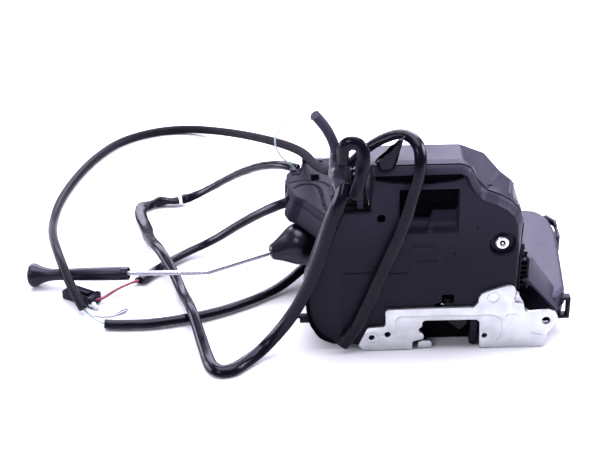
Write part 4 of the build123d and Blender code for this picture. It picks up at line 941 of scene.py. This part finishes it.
# ---- left module
MODULE = rounded([
    (-84.4, 66.8), (-87.6, 77), (-87.6, 97), (-83.4, 104.2), (-79.4, 103), (-77.2, 114.8), (-58, 116.8),
    (-42.2, 116.8), (-42.2, 32.5), (-60, 32.5), (-66.5, 41.5), (-79, 62.5),
], {"all": 2.0, 0: 5, 1: 5, 2: 3, 7: 0.6, 8: 0.6, 10: 4, 11: 5})
MODULE_TOP = 60.8
INNER_SEAM = curved(
    [(-83.4, 77.6), (-79.5, 81.6), (-74.8, 81.9), (-71.3, 80.2), (-69.3, 75.8), (-68.5, 70.2), (-68.3, 63.8),
     (-67.9, 56.6),
     (-66.8, 50.3), (-62.5, 45.2), (-56, 45)], 4.0)
OUTER_SEAM = curved(
    [(-86, 84.4), (-80.6, 86.8), (-77.5, 87.4), (-73.9, 86.6), (-67.7, 85.1), (-64.4, 81.4), (-62.9, 76.5),
     (-62.9, 68.2),
     (-62.7, 60), (-60, 55), (-54, 54)], 4.0)


def module_depth(x, y, distance):
    depth = np.full(x.shape, 0.85)
    depth += 0.9 * (1 - np.clip(distance / 1.5, 0, 1)) ** 2
    dome_edge = INNER_SEAM + [(-56, 32), (-90, 32), (-90, 77.6)]
    dome_distance, _, _, dome = nearest_on(dome_edge, x, y)
    depth -= 0.8 * np.where(dome, smooth_step(dome_distance, 0.0, 1.2), 0.0)
    middle_edge = OUTER_SEAM + [(-54, 32), (-91, 32), (-91, 84.4)]
    middle_distance, _, _, middle = nearest_on(middle_edge, x, y)
    depth -= 0.5 * np.where(middle & ~dome, smooth_step(middle_distance, 0.0, 0.9), 0.0)
    depth += 0.9 * line_mark(x, y, INNER_SEAM, 1.1) + 0.7 * line_mark(x, y, OUTER_SEAM, 1.0)
    depth += 7.0 * box_depth(x, y, (-73.6, -69.2), (87.6, 94.4), 0.5)
    depth += 0.8 * line_mark(x, y, [(-84, 94.8), (-79.2, 95.6), (-78.6, 101.8)], 1.0)
    return depth


def module_growth(x, y, out):
    """The module's slanted lower left side spreads along its own normal."""
    slanted = Vector((-0.78, 0, -0.62))
    return (1.0, slanted) if out.dot(slanted) > 0.75 and y < 72.0 else (0.0, out)


module_top = shaped_panel(
    "module_lid_shell", MODULE, 0.6, module_depth,
    [(3.2, 0.2, 0.5), (3.5, -0.2, 0.5), (4, -0.2, 0.8), (4.2, 0.2, 1), (10.4, 0.2, 4.6), (13, 0.2, 4.6),
     (14.6, 0, 3.8)],
    MODULE_SKIN, module_growth, MODULE_TOP,
)
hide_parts("module_lid")
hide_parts("module_case")
# an unlit floor in the module's square port: painted shade
prism_z("module_port_shade", [(-73.6, 87.6), (-69.2, 87.6), (-69.2, 94.4), (-73.6, 94.4)], 54.6, 55.2, SHADE_PAINT,
        0.1)
for k, (y0, y1, z0, z1, out) in enumerate((
    (74, 79.4, 47, 56.8, 89), (81.6, 83.8, 46.4, 55, 88.4), (85.6, 89.4, 48, 58, 88.9),
    (91.4, 95, 47, 57.2, 88.6),
)):
    brick(f"module_clip_{k}", (-out, -86.0), (y0, y1), (z0, z1), BLACK, 0.7)
brick("module_corner_post", (-85.4, -81.8), (98.6, 102.4), (57.6, 61), LID, 0.5)
brick("module_strap", (-78, -66), (110, 113.4), (59.2, 61.2), LID, 0.5)

# ---- taped bundle
tape_points = even_points(
    [Vector(p) * MM for p in ((-64.4, 9.6, 119), (-63.9, 9, 114), (-62.7, 7.6, 108), (-61.6, 5.6, 102),
                              (-60.7, 3, 96.2))],
    0.0008,
)


def tape_section(share, distance, angle):
    wide = value_at([(0, 3), (0.18, 3.9), (0.4, 5.4), (0.75, 5.3), (1, 3.6)], share) * MM
    deep = value_at([(0, 3), (0.18, 3.9), (0.4, 5.9), (0.75, 5.2), (1, 3)], share) * MM
    fold = noise.noise((math.cos(angle) * 1.6, math.sin(angle) * 1.6, distance * 190))
    wrap = abs((distance * 330 + angle / 6.28 * 0.6) % 1.0 - 0.5)
    push = 1 + 0.2 * fold - 0.05 * wrap
    return wide * push * math.cos(angle), deep * push * math.sin(angle)


tape = skin("bundle_tape_wrap", tape_points, tape_section, TAPE, 40)
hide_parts("bundle_tape")

# ---- crushed rubber end
END_ROWS = 16


def rubber_end_point(row, angle, inner):
    """A flared, pleated mouth: row 0 is its foot and the last row its slanted rim, in mm."""
    share = row / (END_ROWS - 1)
    pleat = noise.noise((math.cos(angle) * 2.2, math.sin(angle) * 2.2, share * 2.6 + 3.0))
    wide = (4.0 + 3.4 * share**0.7) * (1 + 0.14 * pleat * (0.4 + share)) - inner
    deep = (3.0 + 1.1 * share) * (1 + 0.22 * pleat * (0.4 + share)) - inner * 0.8
    x, y = wide * math.cos(angle), deep * math.sin(angle)
    rim = 10.4 + 0.92 * x - 0.1 * y + 0.7 * pleat
    return Vector((-38.4 + x + 1.4 * share, 6.2 + y - 0.4 * share, 110.4 + max(rim, 2.0) * share))


verts = []
around = 44
rows = [(row, 0.0) for row in range(END_ROWS)]
rows += [(END_ROWS - 1, 0.7)] + [(row, 0.95) for row in range(END_ROWS - 2, 1, -1)]
for row, inner in rows:
    for k in range(around):
        place = rubber_end_point(row, 2 * math.pi * k / around, inner)
        if inner == 0.7:
            place.z += 0.25
        verts.append(place * MM)
ends = [tuple(range(around)), tuple(range(len(verts) - around, len(verts)))]
rubber = add_mesh("rubber_end_mouth", verts, row_faces(len(rows), around) + ends, SLEEVE)
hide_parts("rubber_end")

# ---- small plate pieces
prism_y("plate_hook_tab", [(-18.9, 0.3), (-11.4, 0.3), (-11.2, 3.4), (-12.6, 5), (-17.6, 5), (-18.9, 3.6)],
        1.2, 2.6, ZINC, 0.4)
prism_y("plate_step", [(-22.2, 4.2), (-17, 5.2), (-16.2, 7), (-17.2, 11), (-19, 11.2), (-22.6, 9)], 2.1, 5.4,
        BLACK, 0.4)
prism_y("plate_bent_tab", [(31.2, 36.2), (34.2, 36), (35.2, 33.4), (38, 28.4), (36.6, 27.2), (31.8, 28.6),
                           (32.4, 32.4)], 0.4, 1.9,
        CRIMP, 0.4)
prism_y("plate_bent_lip", [(31.6, 29.8), (37.4, 28.8), (38.2, 27), (31.9, 27.9)], -0.5, 0.6, ZINC, 0.3)
brick("plate_bent_post", (33.2, 34.8), (-0.6, 1.2), (32.4, 35.4), ZINC, 0.3)
prism_y("window_grey_block", [(-6.2, 26.8), (-1.2, 26.8), (-1.2, 29.2), (-2.2, 30.8), (-5, 30.8),
                              (-6.2, 29.2)],
        3.4, 6.0, BLACK, 0.4)

# ---- body ridges
def ridge(name, places, radius, material=BLACK):
    """A thin round-topped rib along points in mm."""
    path = even_points([Vector(place) * MM for place in places], 0.0015)
    size = radius * MM
    skin(name, path, lambda share, distance, angle: (size * math.cos(angle), size * math.sin(angle)),
         material, 10)


def on_body(x, z, share):
    """The point of the lofted wall nearest to that place on its front outline, part of the way back."""
    index = min(range(len(BODY_FRONT)), key=lambda k: math.hypot(BODY_FRONT[k][0] - x, BODY_FRONT[k][1] - z))
    (x0, z0), (x1, z1) = BODY_FRONT[index], BODY_REAR[index]
    return (x0 + (x1 - x0) * share, BODY_FRONT_Y + (BODY_REAR_Y - BODY_FRONT_Y) * share,
            z0 + (z1 - z0) * share)


for k, (x, z, start, end) in enumerate((
    (14.4, 96.6, 0.1, 0.93), (16.9, 94.8, 0.18, 0.95), (26.8, 89.9, 0.12, 0.9), (29.5, 87.4, 0.2, 0.95),
    (32.6, 81.6, 0.3, 0.9),
)):
    ridge(f"body_ridge_{k}", [on_body(x, z, start), on_body(x, z, end)], 0.55)
# ---- low right housing
SIDE = rounded([
    (34, 30.6), (37.6, 30.4), (39.8, 28.2), (54.6, 8.4), (57, 8.6), (63.2, 17.6), (69, 77.7), (67.4, 95.4),
    (62, 105.2), (54, 106.6), (34, 106.6),
], {"all": 3.0, 0: 0.3, 3: 1.5, 4: 1.5, 5: 3, 6: 12, 7: 10, 8: 9, 9: 6, 10: 0.5})
SIDE_TOP = 27.0


def side_depth(x, y, distance):
    depth = 0.9 * (1 - np.clip(distance / 1.3, 0, 1)) ** 2
    depth += 0.35 * line_mark(x, y, [(37.4, 31), (37.4, 106)], 0.8)
    depth -= 0.12 * (1 - smooth_step(np.hypot(x - 57.5, y - 68.0), 2.4, 3.4))
    depth += 0.1 * (1 - smooth_step(np.hypot(x - 45.5, y - 91.0), 1.2, 1.9))
    depth -= 0.3 * line_mark(x, y, [(58.9, 14), (66.6, 78), (64.4, 95), (58.6, 103.4)], 0.6)
    return depth


side_top = shaped_panel(
    "side_lid_shell", SIDE, 0.9, side_depth,
    [(2.6, 0.1, 0), (2.8, -0.5, 0), (3.3, -0.5, 0), (3.5, 0.2, 0), (8, 0.2, 0), (8.2, 0.7, 0), (9.2, 0.7, 0),
     (9.4, 0, 0), (16.6, -0.6, 0), (17, -1.2, 0)],
    LID, lambda x, z, out: (0.0, out), top=SIDE_TOP,
)
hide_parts("side_lid")
side_bottom = prism_z("side_case_floor", inset(SIDE, 1.0), 10.0, 10.8, BLACK, 0.3)
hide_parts("side_case")


prism_z("side_clip_top", [(64.8, 99), (67.2, 101.4), (72.2, 94), (71.8, 88), (70.4, 88), (70.2, 93),
                          (66.6, 98.2)], 22.6, 26.2)
prism_z("side_clip_leg", [(70.4, 88.4), (71.8, 88.4), (71.6, 77), (69.4, 75), (69, 77), (70.2, 79)], 15.0,
        25.6)
prism_z("side_clip_foot", [(64.8, 99), (67.2, 101.4), (68.6, 99.4), (66.4, 97)], 15.0, 23.0)
for part, x, z in (
    ("left", (57.8, 59.6), (10, 23.4)), ("right", (64.5, 66.3), (10, 23.4)), ("low", (59, 65), (10, 11.8)),
    ("high", (59, 65), (21.6, 23.4)),
):
    brick("side_ring_" + part, x, (12.6, 17.6), z, BLACK, 0.35)

# ---- shroud over the screw ear
shroud = add_mesh(
    "side_shroud_slope",
    [
        (x * MM, y * MM, z * MM) for x, y, z in (
            (36.9, 3, 42), (40.4, 3, 41.2), (56.2, 3.4, 22.8), (55.6, 3.4, 21.6), (39.8, 3, 39.8),
            (36.9, 3, 40.4), (42.9, 27.6, 42), (46.2, 27.6, 41.2), (60.6, 17, 23.4), (60, 17, 22),
            (45.7, 27.6, 39.8), (42.9, 27.6, 40.4),
        )
    ],
    row_faces(2, 6) + [(0, 5, 4, 1), (1, 4, 3, 2), (6, 7, 10, 11), (7, 8, 9, 10)],
    SHROUD,
)
bevel(shroud, 0.35)
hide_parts("side_shroud")
# the lip's paler lid plastic is partly its own colour and partly a painted highlight along the edge
ridge("shroud_lip", [(40.2, 3, 41), (56.2, 3.4, 22.4)], 0.35, LID)
for k in range(6):
    brick(f"shroud_slat_{k}", (34.9, 39.8), (6, 12), (36.4 + 3.0 * k, 37.4 + 3.0 * k))
brick("shroud_post_left", (34.8, 35.8), (5.6, 12.2), (34.4, 54.6))
brick("shroud_post_right", (39, 40.4), (5.4, 12.2), (35, 53.4))
# an unlit sheet behind the slats: painted shade
brick("shroud_back_shade", (34.9, 40), (11.4, 12.4), (34.6, 54), SHADE_PAINT, 0.1)

# ---- connector
PLUG_TURN = math.radians(-33.0)
PLUG_CENTRE = Vector((-208, 59.7))


def plug_brick(name, along, across, z, material=BLACK, width=0.3):
    """A block on the connector, placed along its own axes, in mm."""
    run = Vector((math.cos(PLUG_TURN), math.sin(PLUG_TURN)))
    side = Vector((-run.y, run.x))
    corners = [PLUG_CENTRE + run * a + side * b for a, b in
               ((along[0], across[0]), (along[1], across[0]), (along[1], across[1]), (along[0], across[1]))]
    return prism_z(name, [tuple(c) for c in corners], *z, material, width)


plug = plug_brick("connector_body", (-9.6, 11.4), (-4.6, 4.6), (0.1, 5.4), width=0.6)
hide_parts("connector_plug")
plug_brick("connector_rear", (8.4, 11.5), (-5, 5), (0, 6.4), width=0.5)
plug_brick("connector_latch", (-3.5, 7), (-1.5, 1.5), (5.3, 7.2), width=0.4)
plug_brick("connector_latch_tip", (-4.4, -2.4), (-2.2, 2.2), (5.3, 7.6), width=0.4)
for k, across in enumerate((-3.9, 3.3)):
    plug_brick(f"connector_rail_{k}", (-8.8, 8.6), (across, across + 0.7), (5.3, 6.1), width=0.2)
# an unlit face in the connector's opening: painted shade
plug_brick("connector_port_shade", (-9.8, -9.2), (-3.4, 3.4), (1.2, 4.6), SHADE_PAINT, 0.1)


# ---- bare wire ends
def lumpy(name, places, size, material, seed):
    """A twisted bundle of bare strands along points in mm."""
    path = even_points([Vector(place) * MM for place in places], 0.0004)

    def section(share, distance, angle):
        taper = size * MM * (0.45 + 0.55 * math.sin(math.pi * min(max(share, 0.04), 0.96)))
        push = 1 + 0.45 * noise.noise((distance * 800 + seed, math.cos(angle) * 1.3, math.sin(angle) * 1.3))
        return taper * push * math.cos(angle), taper * push * math.sin(angle)

    return skin(name, path, section, material, 16)


lumpy("white_wire_strands", [(-206, 52.4, 3.6), (-204.6, 54.4, 2.8), (-202.2, 52.8, 2.2),
                             (-199.6, 49.8, 2), (-197.2, 47, 1.6)], 2.0, PALE, 4.0)
end_strands = lumpy("white_wire_end", [(-186.6, 42.2, 1.3), (-184.6, 43.8, 1.4), (-182.6, 45.4, 1.3),
                                       (-180, 46.6, 1.2)], 1.25, CRIMP, 9.0)
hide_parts("terminal")

# ---- cover screw, and painted shade in holes, sockets and the mouth
def disc(name, radius, rim, at, axis=FORWARD, around=24, material=SHADE_PAINT):
    """A round face with a short rim behind or before it, in mm, by default in unlit black for painted shade.
    """
    turned(name, [(0, 0.02), (0.0, radius), (rim, radius)], at, axis, material, around)


# painted shade in the screw's hex socket
disc("cover_screw_socket_shade", 1.75, 0.5, (24.5, 2.62, 65.2), around=6)
turned("cover_screw_rim", [(0, 2.1), (-0.15, 2.35), (-0.15, 3.2), (0.3, 3.6), (0.5, 3.6)],
       (24.5, 2.7, 65.2), FORWARD, STEEL, 36)
disc("cover_screw_core", 0.6, 0.3, (24.5, 2.5, 65.2), around=16, material=STEEL)
# an unlit strip over the shoulder's top edge: painted shade cast by the body
brick("latch_shoulder_shade", (-60.6, -46.4), (2.6, 8.4), (86.45, 86.75), SHADE_PAINT, 0.05)
# unlit discs in the door screw holes and the sleeve's open end: painted shade
disc("door_screw_right_shade", 2.45, 0.3, (50.7, 3.4, 17.2))
disc("door_screw_left_shade", 1.6, 0.3, (-44.4, 3.4, 8.9))
disc("sleeve_left_bore_shade", 1.7, -0.5, (-174.95, 74.02, 3.1), (-0.64, -0.77, 0), 20)
for part, x, z in (
    ("left", (-85.4, -84.2), (17, 27)), ("low", (-85, -77.2), (17, 18.4)), ("high", (-85, -78.4), (25.6, 27)),
    ("foot", (-83.4, -76.6), (14, 17.2)),
):
    brick("body_clip_" + part, x, (8, 11.4), z, BLACK, 0.35)
# a dark wall at the back of the striker mouth: painted shade for its unlit inside
brick("mouth_painted_shade", (-15.2, 13.2), (11.6, 12.4), (0.1, 18), MOUTH_SHADE_PAINT, 0.1)
brick("mouth_side_post", (9.6, 13.6), (2.6, 11.8), (1.4, 17.6), BLACK, 0.3)


# ---- floor, light and camera
floor_data = bpy.data.meshes.new("floor")
floor_data.from_pydata([(-6, -6, 0), (6, -6, 0), (6, 6, 0), (-6, 6, 0)], [], [(0, 1, 2, 3)])
floor = bpy.data.objects.new("floor", floor_data)
bpy.context.scene.collection.objects.link(floor)
floor_material, _, floor_shader = new_material("studio_floor")
for socket, value in (("Base Color", (0.6, 0.6, 0.62, 1)), ("Roughness", 0.9), ("Specular IOR Level", 0.0)):
    floor_shader.inputs[socket].default_value = value
floor_data.materials.append(floor_material)

world = bpy.data.worlds.new("studio")
bpy.context.scene.world = world
world.use_nodes = True
background = world.node_tree.nodes["Background"].inputs
background["Color"].default_value = (0.84, 0.83, 1, 1)
background["Strength"].default_value = 0.27


def aim(item, place, target):
    """Places a light or the camera so that it faces the target, and links it."""
    item.location = place
    item.rotation_euler = (Vector(target) - Vector(place)).to_track_quat("-Z", "Y").to_euler()
    bpy.context.scene.collection.objects.link(item)


def softbox(name, place, target, size, power, colour):
    data = bpy.data.lights.new(name, "AREA")
    data.shape = "RECTANGLE"
    data.size, data.size_y = size
    data.energy = power
    data.color = colour
    aim(bpy.data.objects.new(name, data), place, target)


softbox("key_top", (-0.1, 0.2, 1.4), (-0.08, 0.05, 0), (1.5, 1), 46.0, (0.92, 0.91, 1))
softbox("back_strip", (-0.1, 1.5, 0.95), (-0.08, 0, 0.05), (2.2, 0.9), 74.0, (0.86, 0.83, 1))
softbox("left_strip", (-1.3, 0.4, 0.35), (-0.08, 0.03, 0.05), (0.9, 0.5), 22.0, (0.86, 0.86, 1))
softbox("right_fill", (1.2, 0.25, 0.75), (0.03, 0.02, 0.06), (0.8, 0.6), 38.0, (0.88, 0.86, 1))
softbox("front_left", (-0.75, -0.75, 0.95), (-0.1, 0.03, 0.05), (0.45, 0.25), 5.0, (0.9, 0.9, 1))

CAMERA_AT, LOOK_AT = (-0.1123, -0.7426, 0.5064), (-0.0783, 0.036, 0.0564)
camera_data = bpy.data.cameras.new("camera")
camera_data.lens = 95.943
camera_data.sensor_width = 36.0
camera_data.sensor_fit = "HORIZONTAL"
camera_data.clip_start = 0.01
camera_data.clip_end = 50.0
camera = bpy.data.objects.new("camera", camera_data)
aim(camera, CAMERA_AT, LOOK_AT)
bpy.context.scene.camera = camera
bpy.context.scene.view_settings.view_transform = "Standard"

bpy.context.view_layer.update()
